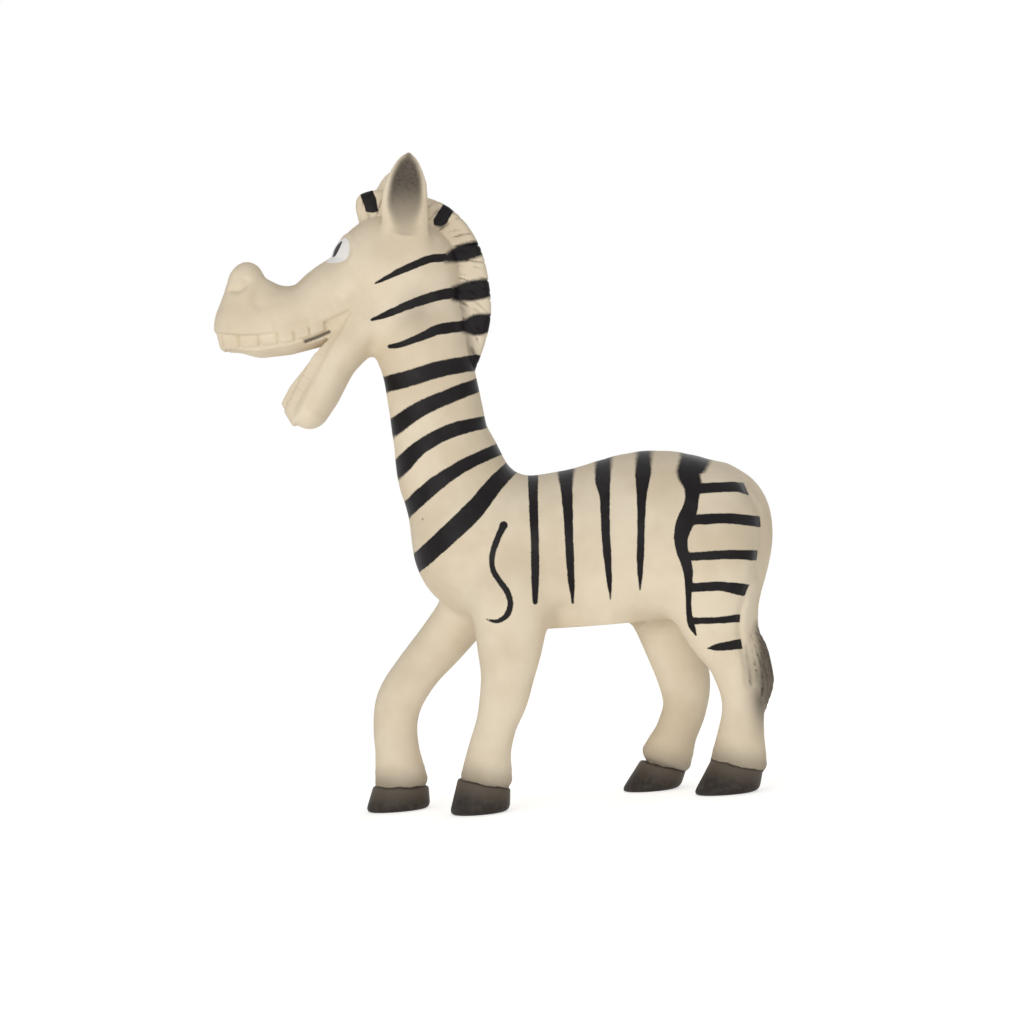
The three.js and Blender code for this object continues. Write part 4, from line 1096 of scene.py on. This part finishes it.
# Brush strokes on the left side, mirrored on the right: places and half-widths in pixels of the
# photograph's frame, and how soft the edges are at the start and at the end, in pixels
STROKES = {
    "cheek_high": [
        [375, 283.6, 0.9], [387, 277.6, 2.3], [402, 270.2, 3.4], [420, 262.6, 3.9], [432, 258.6, 4],
        [446, 257.6, 4.3],
    ],
    "cheek_middle": [
        [371.5, 320, 1.2], [385, 315, 3.2], [414, 303, 4.6], [441, 294.8, 5.2], [460, 292, 6],
    ],
    "cheek_low": [
        [389.5, 346.4, 2.1], [399, 345, 3], [418.5, 338, 3.8], [438.6, 329.6, 5.4], [466, 325.8, 5.6],
    ],
    "neck_1": [
        [378, 387, 8.4], [386, 384.5, 8.2], [409.6, 378.2, 8.2], [438.6, 369.3, 8.2], [476, 362.4, 8],
    ],
    "neck_2": [
        [386, 431, 9.5], [394, 426.9, 9], [418.5, 410.1, 8], [447.6, 396.8, 7.5], [482, 383.5, 6.8],
    ],
    "neck_3": [
        [391, 474, 9.5], [398.5, 468.2, 9], [420.8, 447, 7.5], [449.8, 431.3, 7.2], [493, 420.2, 6],
    ],
    "neck_4": [
        [398, 519, 8], [405.2, 511.7, 7.6], [431.9, 487.1, 7.8], [463.2, 465.9, 6.5], [505, 446.5, 6],
    ],
    "shoulder": [
        [412, 566, 9.5], [420.8, 559.6, 9.3], [454.2, 529.5, 10], [476.6, 507.2, 9.7],
        [494.4, 484.9, 8.3], [517, 462, 7],
    ],
    "shoulder_mark": [
        [503.8, 525.3, 3.9], [497.7, 538, 3.3], [492.2, 555.7, 2.8], [492.9, 569.6, 2.9],
        [499.7, 581.4, 2.9], [507.6, 592.3, 3], [510.5, 605, 2.9], [505.6, 616.6, 2.8],
        [496.7, 621.3, 2], [485.8, 619.4, 0.8],
    ],
    "flank_1": [
        [532.9, 468, 5.5], [532.9, 475.6, 5.2], [533.7, 510, 4.5], [534.8, 544, 4.2], [535.2, 583, 3.8],
        [535.2, 602, 2.6],
    ],
    "flank_2": [
        [565.9, 465, 9], [565.9, 472.7, 8.3], [566.5, 488.5, 6.2], [567.9, 510, 4.9], [568.9, 534, 4.3],
        [570.4, 567.6, 3.8], [572.2, 591.3, 2.6], [572.8, 603.2, 1],
    ],
    "flank_3": [
        [603.8, 452, 8.5], [603.4, 463, 8.2], [602.9, 480.6, 7.7], [604.8, 496.4, 5.2],
        [605.4, 524, 4.5], [607.4, 555.7, 4], [609.4, 581.4, 2.5], [610.6, 599.2, 0.7],
    ],
    "flank_4": [
        [644.5, 446, 8], [644, 457, 7.8], [643, 474.7, 7.8], [641.6, 494.4, 5.1], [641.2, 524, 3.8],
        [640.4, 555.7, 3.7], [640.2, 575.5, 2.6], [640.2, 590.3, 0.5],
    ],
    "rump": [
        [697, 448, 17], [694.4, 460.8, 15], [688.9, 472.7, 12.1], [692.2, 484.5, 9.4],
        [692, 498.4, 6.9], [689.5, 510.2, 7.9], [684.5, 524.1, 8.9], [681, 537.9, 7],
        [682.5, 551.8, 5.9], [687.1, 565.6, 5.3], [688.7, 583.4, 3.8], [688.5, 601.2, 2.9],
        [689.3, 615, 2.8], [691.4, 625.3, 3.3], [696, 635.2, 0.9],
    ],
    "rump_bar_1": [[700, 488.5, 5.3], [723, 487.1, 5], [738, 487, 5], [752, 491, 5.4]],
    "rump_bar_2": [[693, 519.7, 5.3], [727, 518.5, 5.2], [756, 521.2, 5.4], [768, 523, 5.6]],
    "rump_bar_3": [[689.5, 556.7, 4.3], [727, 554.7, 4.6], [753.5, 555.4, 5.2], [766, 556.5, 5.4]],
    "rump_bar_4": [
        [692, 587.7, 4.6], [721, 586.4, 4.8], [734, 588.2, 5.6], [744, 590, 6.2], [755, 592, 6.4],
    ],
    "rump_bar_5": [[691, 621, 3.6], [717, 620.4, 3.3], [736.5, 618.5, 4], [750, 618, 4.2]],
    "thigh_bar": [
        [708.4, 648.2, 1], [716, 647.4, 3.4], [726, 646.2, 4.4], [741, 643.8, 5], [752, 641.5, 5.2],
    ],
    "mane_1": [[446.5, 258.3, 4.6], [462.5, 252.9, 9], [484, 247, 7.6]],
    "mane_2": [[456.5, 293.3, 8], [471.6, 290.8, 10.3], [496, 287, 8.8]],
    "mane_3": [[464, 326.8, 6], [474.7, 325.2, 10.6], [494, 322.2, 8.6]],
}
# Softness in pixels at the start and at the end of the strokes that were sprayed on, not brushed
SOFT_STROKES = {
    "neck_1": (4.5, 0.8), "neck_2": (4, 0.8), "neck_3": (2.8, 0.7), "neck_4": (2.4, 0.7),
    "flank_2": (3.4, 0.5), "flank_3": (4.2, 0.5), "flank_4": (5, 0.5), "rump": (3.4, 0.5),
    "mane_1": (3, 2.2), "mane_2": (2.6, 2), "mane_3": (2.6, 2),
}
CRISP = 0.55
SOFT_RUN = 0.35
# Painted patches on the crest of the mane, as outlines in the same pixels
PATCHES = {
    "forelock": [
        [359.6, 194.3], [356, 178], [372, 176], [372.5, 189.7], [376, 198.2], [378.6, 211.5], [372.9, 213],
        [366, 211.9], [363.7, 204.3],
    ],
    "crown": [
        [442.9, 204.6], [452, 192], [466, 200], [453, 211.9], [447.1, 222.7], [440.3, 228], [434, 224.8],
        [433.4, 219.6],
    ],
}
STROKE_STEPS = 6
STROKE_REACH = 12
# No paint reaches the faces that turn inward between the legs
INNER_FACE = {"start": 0.25, "over_belly": 3, "push": 20}


def paint_distance(points, outward):
    """Signed distance to the brushed and sprayed black, and how soft its edge is, in millimetres."""
    pixels = photo_places(left_side(points))
    best = np.full(len(points), FAR)
    soft = np.full(len(points), CRISP)
    for name, rows in STROKES.items():
        line = catmull_rom(rows, STROKE_STEPS * (len(rows) - 1))
        margin = line[:, 2].max() + STROKE_REACH
        low, high = line[:, :2].min(0) - margin, line[:, :2].max(0) + margin
        near = np.flatnonzero(np.all((pixels > low) & (pixels < high), axis=1))
        gap, place = line_distance(pixels[near], line[:, :2])
        edge = gap - np.interp(place, np.arange(len(line)), line[:, 2])
        start, end = SOFT_STROKES.get(name, (CRISP, CRISP))
        edge_soft = start + (end - start) * smooth_step(place / (len(line) - 1), 0, SOFT_RUN)
        closer = edge < best[near]
        soft[near] = np.where(closer, edge_soft, soft[near])
        best[near] = np.where(closer, edge, best[near])
    crest = np.abs(points[:, 1]) < MANE_THICKNESS
    for outline in PATCHES.values():
        best = np.where(crest, np.minimum(best, outline_distance(pixels, outline)), best)
    edge = catmull_rom(TAIL_EDGE, TAIL_EDGE_STEPS)
    beyond = edge[::-1] + [PHOTO_SIZE / 10, 0]
    best = np.maximum(best, -outline_distance(pixels, np.vstack([edge, beyond])))
    low = points[:, 2] < BELLY_HEIGHT + INNER_FACE["over_belly"]
    inner = np.clip(-outward - INNER_FACE["start"], 0, 1) * low
    return best * PIXEL + INNER_FACE["push"] * inner, soft * PIXEL


def eye_distance(points, across, half_sizes, shift):
    """Signed distance along the skin to the edge of the painted white or of the pupil."""
    near, along, aside = eye_places(points, across, half_sizes, shift)
    slope = np.hypot(along / half_sizes[0] ** 2, aside / half_sizes[1] ** 2)
    flat = near * (near - 1) / np.maximum(slope, TINY)
    return np.where(points[:, 2] > MOUTH_CORNER[1], flat, FAR)


# Where dark brown was sprayed on, and where the same brown is painted shade (under the tuft, in the throat,
# in the mouth's slit and on the mane), in millimetres: how far inside a form it starts and is full, how
# high it lies, and how dark it gets
EAR_SPRAY = {"edge": (-1.4, 0.3), "height_shares": (0.05, 0.72), "foot": 0.36}
# The tuft's brown is sprayed on, darker to the rear and low down; in its strand grooves it is painted shade
TUFT_SPRAY = {
    "edge": (-1.6, 0.4), "height_shares": (-0.12, -0.42), "rear": (-0.5, 3),
    "front_amount": 0.15, "rear_amount": 0.72, "low_amount": 0.4, "strand_shade_amount": 0.45, "most": 0.93,
}
# Painted shade on the left hind leg under the end of the tuft: its place in the XZ plane, how far it fades
# along and up, and how dark it gets
TUFT_SHADE = {"place": (46.8, 27), "length": 3.6, "depth": 8, "amount": 0.8}
LEG_SPRAY = {"edge": (-9.5, 0.5), "power": 1.5, "amount": 0.55}
# Painted shade in the throat below the jaw: its place along and below the jaw, how far it fades, and how
# dark it gets
THROAT_SHARES = {"along": -0.2, "below": 1.25}
THROAT_PAINTED_SHADE = {"length": 6, "depth": 7, "amount": 0.3}
# Painted shade in the slit under the rear upper teeth: where it is full, and how dark it gets
SLIT_PAINTED_SHADE = {"full_share": 0.3, "amount": 0.85}
# Painted shade at the foot of the mane and in its grooves: where the foot starts and is full, and how dark
# the foot, the grooves and the whole get
MANE_PAINTED_SHADE = {"foot": (3.4, 0.3), "foot_amount": 0.5, "groove_amount": 0.55, "most": 0.65}


def fading_spot(x, z, place, length, depth):
    """1 at a place in the XZ plane, fading over a length and a depth."""
    return np.exp(-(((x - place[0]) / length) ** 2 + ((z - place[1]) / depth) ** 2))


def ear_spray(points, side):
    inside = smooth_step(-scoop_form(side)(points), *EAR_SPRAY["edge"])
    root = head_z(EAR_ROOT_SHARES["up"])
    height = smooth_step(points[:, 2], *[root + share * EAR_LENGTH for share in EAR_SPRAY["height_shares"]])
    return inside * (EAR_SPRAY["foot"] + (1 - EAR_SPRAY["foot"]) * height)


def tuft_spray(points):
    inside = smooth_step(-tuft_form()(points), *TUFT_SPRAY["edge"])
    height = smooth_step(-points[:, 2], *[-torso_z(share) for share in TUFT_SPRAY["height_shares"]])
    front = torso_x(1) + TUFT_SHARES[1][0] * TORSO_DEPTH
    behind = smooth_step(points[:, 0] - front, *TUFT_SPRAY["rear"])
    # The strand grooves get extra brown as painted shade
    amount = TUFT_SPRAY["front_amount"] + TUFT_SPRAY["strand_shade_amount"] * tuft_strands(points)
    amount += TUFT_SPRAY["rear_amount"] * behind + TUFT_SPRAY["low_amount"] * height
    return inside * np.clip(amount, 0, TUFT_SPRAY["most"])


def leg_spray(points, leg):
    near = smooth_step(-above_coronet(leg, points), *LEG_SPRAY["edge"]) ** LEG_SPRAY["power"]
    return LEG_SPRAY["amount"] * near * beside_hoof(leg, points)


def spray_and_painted_shade(points):
    """How much dark brown is put on: sprayed in the ears, on the tuft and above the hooves on the legs, and
    painted shade in the throat, the mouth's slit, under the tuft, on the mane and in the tuft's grooves.
    """
    x, y, z = points.T
    # Painted shade on the left hind leg under the tuft's end
    under_tuft = fading_spot(x, z, TUFT_SHADE["place"], TUFT_SHADE["length"], TUFT_SHADE["depth"])
    # Painted shade in the throat
    throat_shade_place = jaw_point(THROAT_SHARES["along"] * JAW_LENGTH, THROAT_SHARES["below"] * JAW_DEPTH)
    throat_shade = fading_spot(x, z, throat_shade_place, THROAT_PAINTED_SHADE["length"], THROAT_PAINTED_SHADE["depth"])
    # Painted shade in the slit under the rear upper teeth
    gap, _ = line_distance(points[:, [0, 2]], head_places(SLIT_SHARES))
    slit = smooth_step(gap, SLIT_WIDTH, SLIT_PAINTED_SHADE["full_share"] * SLIT_WIDTH)
    slit *= smooth_step(np.abs(y), SLIT_ACROSS - 1, SLIT_ACROSS)
    return np.maximum.reduce([
        *[ear_spray(points, side) for side in SIDES],
        *[leg_spray(points, leg) for leg in LEGS],
        tuft_spray(points),
        mane_shade(points) * ((np.abs(y) < MANE_THICKNESS) & (z > NECK_BASE_Z)),
        TUFT_SHADE["amount"] * under_tuft * (y < 0),
        THROAT_PAINTED_SHADE["amount"] * throat_shade,
        SLIT_PAINTED_SHADE["amount"] * slit,
    ])


def mane_shade(points):
    """Grey painted shade along the foot of the mane, where it meets the neck, and in its grooves."""
    x, y, z = points.T
    inset = -outline_distance(points[:, [0, 2]], mane_outline())
    on_side = smooth_step(np.abs(y), MANE_THICKNESS / 2 + 0.5, MANE_THICKNESS / 2 - 0.1)
    foot = smooth_step(neck_form()(points), *MANE_PAINTED_SHADE["foot"])
    grooves = strand_grooves(x, z) * smooth_step(inset, 0, GROOVE_REACH)
    amount = MANE_PAINTED_SHADE["foot_amount"] * foot + MANE_PAINTED_SHADE["groove_amount"] * grooves
    return np.clip(amount, 0, MANE_PAINTED_SHADE["most"]) * (inset > 0) * on_side


def hoof_distance(points):
    """Height above the nearest hoof's coronet, negative on the hoof."""
    best = np.full(len(points), FAR)
    for leg in LEGS:
        best = np.where(beside_hoof(leg, points), above_coronet(leg, points), best)
    return best


def put_in_scene(name, data):
    made = bpy.data.objects.new(name, data)
    bpy.context.scene.collection.objects.link(made)
    return made


def mesh_object(name, points, faces, attributes):
    mesh = bpy.data.meshes.new(name)
    mesh.vertices.add(len(points))
    mesh.vertices.foreach_set("co", np.asarray(points, np.float32).ravel())
    mesh.loops.add(faces.size)
    mesh.loops.foreach_set("vertex_index", faces.astype(np.int32).ravel())
    mesh.polygons.add(len(faces))
    mesh.polygons.foreach_set("loop_start", np.arange(0, faces.size, faces.shape[1], dtype=np.int32))
    mesh.polygons.foreach_set("use_smooth", np.ones(len(faces), bool))
    mesh.update(calc_edges=True)
    mesh.validate()
    for key, values in attributes.items():
        attribute = mesh.attributes.new(key, "FLOAT", "POINT")
        attribute.data.foreach_set("value", np.asarray(values, np.float32))
    return put_in_scene(name, mesh)


def make_skin():
    form = skin_form()
    points, faces = surface(form, skin_grids())
    points = evened(points, faces, plain_skin(points))
    slope = slopes(form, points)
    outward = slope[:, 1] / np.maximum(np.linalg.norm(slope, axis=1), TINY) * np.sign(points[:, 1])
    stroke, softness = paint_distance(points, outward)
    low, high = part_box("squeaker_cup")
    shift = np.array([(low.x + high.x) / 2, (low.y + high.y) / 2, 0])
    attributes = {
        "stroke": stroke,
        "softness": softness,
        "spray_and_painted_shade": spray_and_painted_shade(points),
        "hoof": hoof_distance(points),
        "eye": eye_distance(points, EYE_ACROSS, EYE_HALF_SIZES, 0),
        "pupil": eye_distance(points, PUPIL_ACROSS, PUPIL_HALF_SIZES, PUPIL_SHIFT),
    }
    return mesh_object("rubber_skin", points * MM + shift, faces, attributes), shift


class Tree:
    """A tree of shader nodes. A socket, a number or a colour can feed each input."""

    def __init__(self, owner, shader, output):
        owner.use_nodes = True
        self.owner = owner
        self.nodes = owner.node_tree.nodes
        self.links = owner.node_tree.links
        self.nodes.clear()
        self.shader = self.node(shader)
        self.links.new(self.shader.outputs[0], self.node(output).inputs["Surface"])

    def node(self, kind, inputs=None, **settings):
        made = self.nodes.new(kind)
        for key, value in settings.items():
            setattr(made, key, value)
        self.feed(made, inputs or {})
        return made

    def feed(self, node, inputs):
        for key, value in inputs.items():
            if isinstance(value, bpy.types.NodeSocket):
                self.links.new(value, node.inputs[key])
            else:
                node.inputs[key].default_value = value

    def finish(self, inputs):
        self.feed(self.shader, inputs)
        return self.owner

    def math(self, operation, *values):
        return self.node("ShaderNodeMath", dict(enumerate(values)), operation=operation).outputs[0]

    def times(self, first, second):
        return self.math("MULTIPLY", first, second)

    def plus(self, first, second):
        return self.math("ADD", first, second)

    def larger(self, first, *others):
        for other in others:
            first = self.math("MAXIMUM", first, other)
        return first

    def ramp(self, value, start, end, low=0.0, high=1.0, kind="SMOOTHSTEP"):
        inputs = {"Value": value, "From Min": start, "From Max": end, "To Min": low, "To Max": high}
        return self.node("ShaderNodeMapRange", inputs, interpolation_type=kind).outputs["Result"]

    def seen_ray(self):
        """1 for a ray from the camera, also by way of a gloss or something clear."""
        rays = self.node("ShaderNodeLightPath").outputs
        return self.larger(rays["Is Camera Ray"], rays["Is Glossy Ray"], rays["Is Transmission Ray"])


class Coat(Tree):
    """A material whose places are in millimetres."""

    def __init__(self, name):
        material = bpy.data.materials.new(name)
        super().__init__(material, "ShaderNodeBsdfPrincipled", "ShaderNodeOutputMaterial")
        place = self.node("ShaderNodeTexCoord").outputs["Object"]
        self.place = self.vector("SCALE", {0: place, "Scale": 1 / MM})[0]

    def vector(self, operation, inputs):
        return self.node("ShaderNodeVectorMath", inputs, operation=operation).outputs

    def attribute(self, name):
        return self.node("ShaderNodeAttribute", attribute_name=name).outputs["Fac"]

    def noise(self, size, detail=2.0, roughness=0.5):
        inputs = {"Vector": self.place, "Scale": 1 / size, "Detail": detail, "Roughness": roughness}
        return self.node("ShaderNodeTexNoise", inputs).outputs["Fac"]

    def wobble(self, size, amount, detail=2.0, roughness=0.5):
        """A noise about nought."""
        return self.times(self.math("SUBTRACT", self.noise(size, detail, roughness), 0.5), amount)

    def mix(self, share, first, second):
        inputs = {"Factor": share, 6: first, 7: second}
        return self.node("ShaderNodeMix", inputs, data_type="RGBA").outputs[2]

    def bump(self, height, distance):
        return self.node("ShaderNodeBump", {"Height": height, "Distance": distance * MM}).outputs["Normal"]


def srgb(*levels):
    """A colour written as on a screen, from 0 to 255, as the linear colour that a shader takes."""
    shares = [level / 255 for level in levels]
    return (*[v / 12.92 if v <= 0.04045 else ((v + 0.055) / 1.055) ** 2.4 for v in shares], 1)


LATEX_LIGHT = srgb(226, 212, 188)
LATEX_DARK = srgb(212, 196, 170)
PORE_BROWN = srgb(120, 100, 78)
BLACK_PAINT = srgb(22, 19, 19)
BLACK_WORN = srgb(42, 38, 38)
# The brown of the spray, also used as painted shade in the throat, the slit, under the tuft, on the mane
# and in the tuft's grooves
SPRAY_AND_SHADE_BROWN = srgb(56, 49, 44)
HOOF_LOW = srgb(38, 33, 31)
HOOF_HIGH = srgb(88, 79, 69)
CORONET_LINE = srgb(52, 44, 38)
EYE_WHITE = srgb(238, 235, 232)
PUPIL_DARK = srgb(42, 32, 40)
PORE_PITCH = 7.5
HOOF_SHADE_REACH = 7
PAINTED_ROUGHNESS = 0.44
LATEX_ROUGHNESS = 0.68
COAT_SPECULAR = 0.13
COAT_RELIEF = 0.09


def coat_material():
    t = Coat("latex_coat")
    grain = t.noise(0.9, 3, 0.6)
    colour = t.mix(t.ramp(t.noise(22, 3, 0.55), 0.35, 0.68), LATEX_LIGHT, LATEX_DARK)
    colour = t.mix(t.ramp(t.noise(2.6, 4, 0.7), 0.56, 0.8, 0, 0.16), colour, LATEX_DARK)

    pores = t.node("ShaderNodeTexVoronoi", {"Vector": t.place, "Scale": 1 / PORE_PITCH})
    chosen = t.math("GREATER_THAN", pores.outputs["Color"], 0.66)
    pore = t.times(t.ramp(pores.outputs["Distance"], 0.03, 0.055, 1, 0), chosen)
    colour = t.mix(t.times(pore, 0.7), colour, PORE_BROWN)

    # Dark brown: sprayed paint, and painted shade in the throat, the slit, under the tuft, on the mane and
    # in the tuft's grooves
    sprayed_and_shaded = t.times(t.attribute("spray_and_painted_shade"), t.ramp(t.noise(0.7, 2, 0.6), 0.25, 0.75, 0.96, 1.03))
    colour = t.mix(sprayed_and_shaded, colour, SPRAY_AND_SHADE_BROWN)

    hoof = t.attribute("hoof")
    hoof_edge = t.plus(hoof, t.wobble(3.5, 1.2))
    on_hoof = t.ramp(hoof_edge, -0.15, 0.35, 1, 0)
    hoof_colour = t.mix(t.ramp(hoof, -HOOF_SHADE_REACH, 0), HOOF_LOW, HOOF_HIGH)
    hoof_colour = t.mix(t.ramp(t.noise(1.6, 3, 0.6), 0.4, 0.75, 0, 0.3), hoof_colour, HOOF_HIGH)
    colour = t.mix(t.times(on_hoof, 0.97), colour, hoof_colour)
    colour = t.mix(t.ramp(t.math("ABSOLUTE", hoof_edge), 0.1, 0.4, 0.75, 0), colour, CORONET_LINE)

    soft = t.attribute("softness")
    edge_noise = t.wobble(3.2, 1, 3, 0.6)
    rough_edge = t.times(t.wobble(0.55, 1, 2, 0.6), t.plus(t.times(soft, 1.1), 0.12))
    stroke = t.plus(t.plus(t.attribute("stroke"), t.times(edge_noise, 0.55)), rough_edge)
    painted = t.ramp(stroke, t.times(soft, -1), soft, 1, 0)
    worn = t.ramp(t.noise(7, 4, 0.65), 0.45, 0.8, 0, 0.75)
    colour = t.mix(painted, colour, t.mix(worn, BLACK_PAINT, BLACK_WORN))

    on_eye = t.ramp(t.plus(t.attribute("eye"), t.times(edge_noise, 0.7)), -0.12, 0.12, 1, 0)
    colour = t.mix(on_eye, colour, EYE_WHITE)
    colour = t.mix(t.ramp(t.attribute("pupil"), -0.1, 0.1, 1, 0), colour, PUPIL_DARK)

    shine = t.larger(painted, on_eye, t.times(on_hoof, 0.7))
    roughness = t.ramp(shine, 0, 1, LATEX_ROUGHNESS, PAINTED_ROUGHNESS, "LINEAR")
    dent = t.math("SUBTRACT", t.times(grain, 0.35), t.times(pore, 2.2))
    height = t.plus(t.plus(dent, t.times(t.noise(5, 4, 0.6), 1.3)), t.times(painted, 0.25))
    return t.finish({
        "Base Color": colour,
        "Roughness": t.plus(roughness, t.ramp(grain, 0, 1, -0.05, 0.05)),
        "Specular IOR Level": COAT_SPECULAR,
        "Normal": t.bump(height, COAT_RELIEF),
    })


def polythene_material():
    t = Coat("milky_polythene")
    return t.finish({
        "Base Color": t.mix(t.noise(4, 3), srgb(236, 232, 222), srgb(222, 216, 203)),
        "Roughness": t.ramp(t.noise(0.8, 3), 0.2, 0.8, 0.38, 0.52),
        "Subsurface Weight": 0.15,
        "Subsurface Radius": (0.002, 0.0017, 0.0013),
        "Normal": t.bump(t.noise(0.35, 2), 0.02),
    })


def brass_material():
    t = Coat("rolled_brass")
    t.place = t.vector("MULTIPLY", {0: t.place, 1: (0.12, 3, 3)})[0]
    grain = t.noise(0.5, 3)
    return t.finish({
        "Base Color": t.mix(grain, srgb(206, 172, 98), srgb(182, 146, 78)),
        "Metallic": 1.0,
        "Roughness": t.ramp(grain, 0.2, 0.8, 0.24, 0.4),
        "Normal": t.bump(grain, 0.01),
    })


def finish_squeaker():
    finishes = {"polythene": polythene_material(), "reed_brass": brass_material()}
    for part in frame["record"]["subparts"]:
        material = finishes.get(part["material_slot"])
        if material:
            slots = frame["nodes"][part["node"]].data.materials
            slots.clear()
            slots.append(material)


# The floor is pale, and is seen as near white where the figure's shadow doesn't fall. What is seen of
# it glows more from a place on, and its bounce is what the figure gets.
FLOOR_HALF = 6000
FLOOR_GLOW = 0.57
FAR_GLOW = 0.68
NEAR_PLACE = 280
FAR_PLACE = 1400
FLOOR_BOUNCE = 0.34


def make_floor():
    corners = np.array([[-1, -1, 0], [1, -1, 0], [1, 1, 0], [-1, 1, 0]]) * FLOOR_HALF * MM
    floor = mesh_object("floor", corners, np.array([[0, 1, 2, 3]]), {})
    t = Coat("pale_floor")
    away = t.vector("LENGTH", {0: t.place})["Value"]
    glow = t.ramp(away, NEAR_PLACE, FAR_PLACE, FLOOR_GLOW, FAR_GLOW)
    floor.data.materials.append(t.finish({
        "Base Color": t.mix(t.noise(160, 3), srgb(247, 246, 244), srgb(243, 242, 240)),
        "Roughness": 0.85,
        "Specular IOR Level": 0.1,
        "Emission Color": (1, 1, 1, 1),
        "Emission Strength": t.ramp(t.seen_ray(), 0, 1, FLOOR_BOUNCE, glow),
    }))


# Lamps: place in millimetres from the aim, size, and power in watts
AMBIENT = 0.35
LAMPS = {
    "key": ((-540, -850, 30), 560, 4.45),
    "fill": ((260, -940, -50), 700, 2.95),
    "top": ((60, 60, 900), 560, 0.6),
    "back": ((420, 700, 420), 500, 0.8),
}


def make_lights(shift):
    t = Tree(bpy.data.worlds.new("studio"), "ShaderNodeBackground", "ShaderNodeOutputWorld")
    strength = t.ramp(t.seen_ray(), 0, 1, AMBIENT, 1, "LINEAR")
    bpy.context.scene.world = t.finish({"Color": (1, 1, 1, 1), "Strength": strength})
    target = Vector(AIM * MM + shift)
    for name, (offset, size, power) in LAMPS.items():
        data = bpy.data.lights.new(name, "AREA")
        data.size = size * MM
        data.energy = power
        lamp = put_in_scene(name, data)
        lamp.location = target + Vector(offset) * MM
        lamp.rotation_mode = "QUATERNION"
        lamp.rotation_quaternion = (target - lamp.location).to_track_quat("-Z", "Y")


def make_camera(shift):
    right, up, back = camera_axes()
    data = bpy.data.cameras.new("camera")
    data.lens = LENS
    data.sensor_width = SENSOR
    data.sensor_fit = "HORIZONTAL"
    data.clip_start, data.clip_end = CLIP_RANGE
    axes = np.eye(4)
    axes[:3] = np.c_[right, up, back, (AIM + back * CAMERA_DISTANCE) * MM + shift]
    camera = put_in_scene("camera", data)
    camera.matrix_world = Matrix(axes.tolist())
    bpy.context.scene.camera = camera


bpy.context.scene.view_settings.view_transform = "Standard"
skin, origin = make_skin()
skin.data.materials.append(coat_material())
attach(skin, "root")
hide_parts("latex_skin")
finish_squeaker()
make_floor()
make_lights(origin)
make_camera(origin)
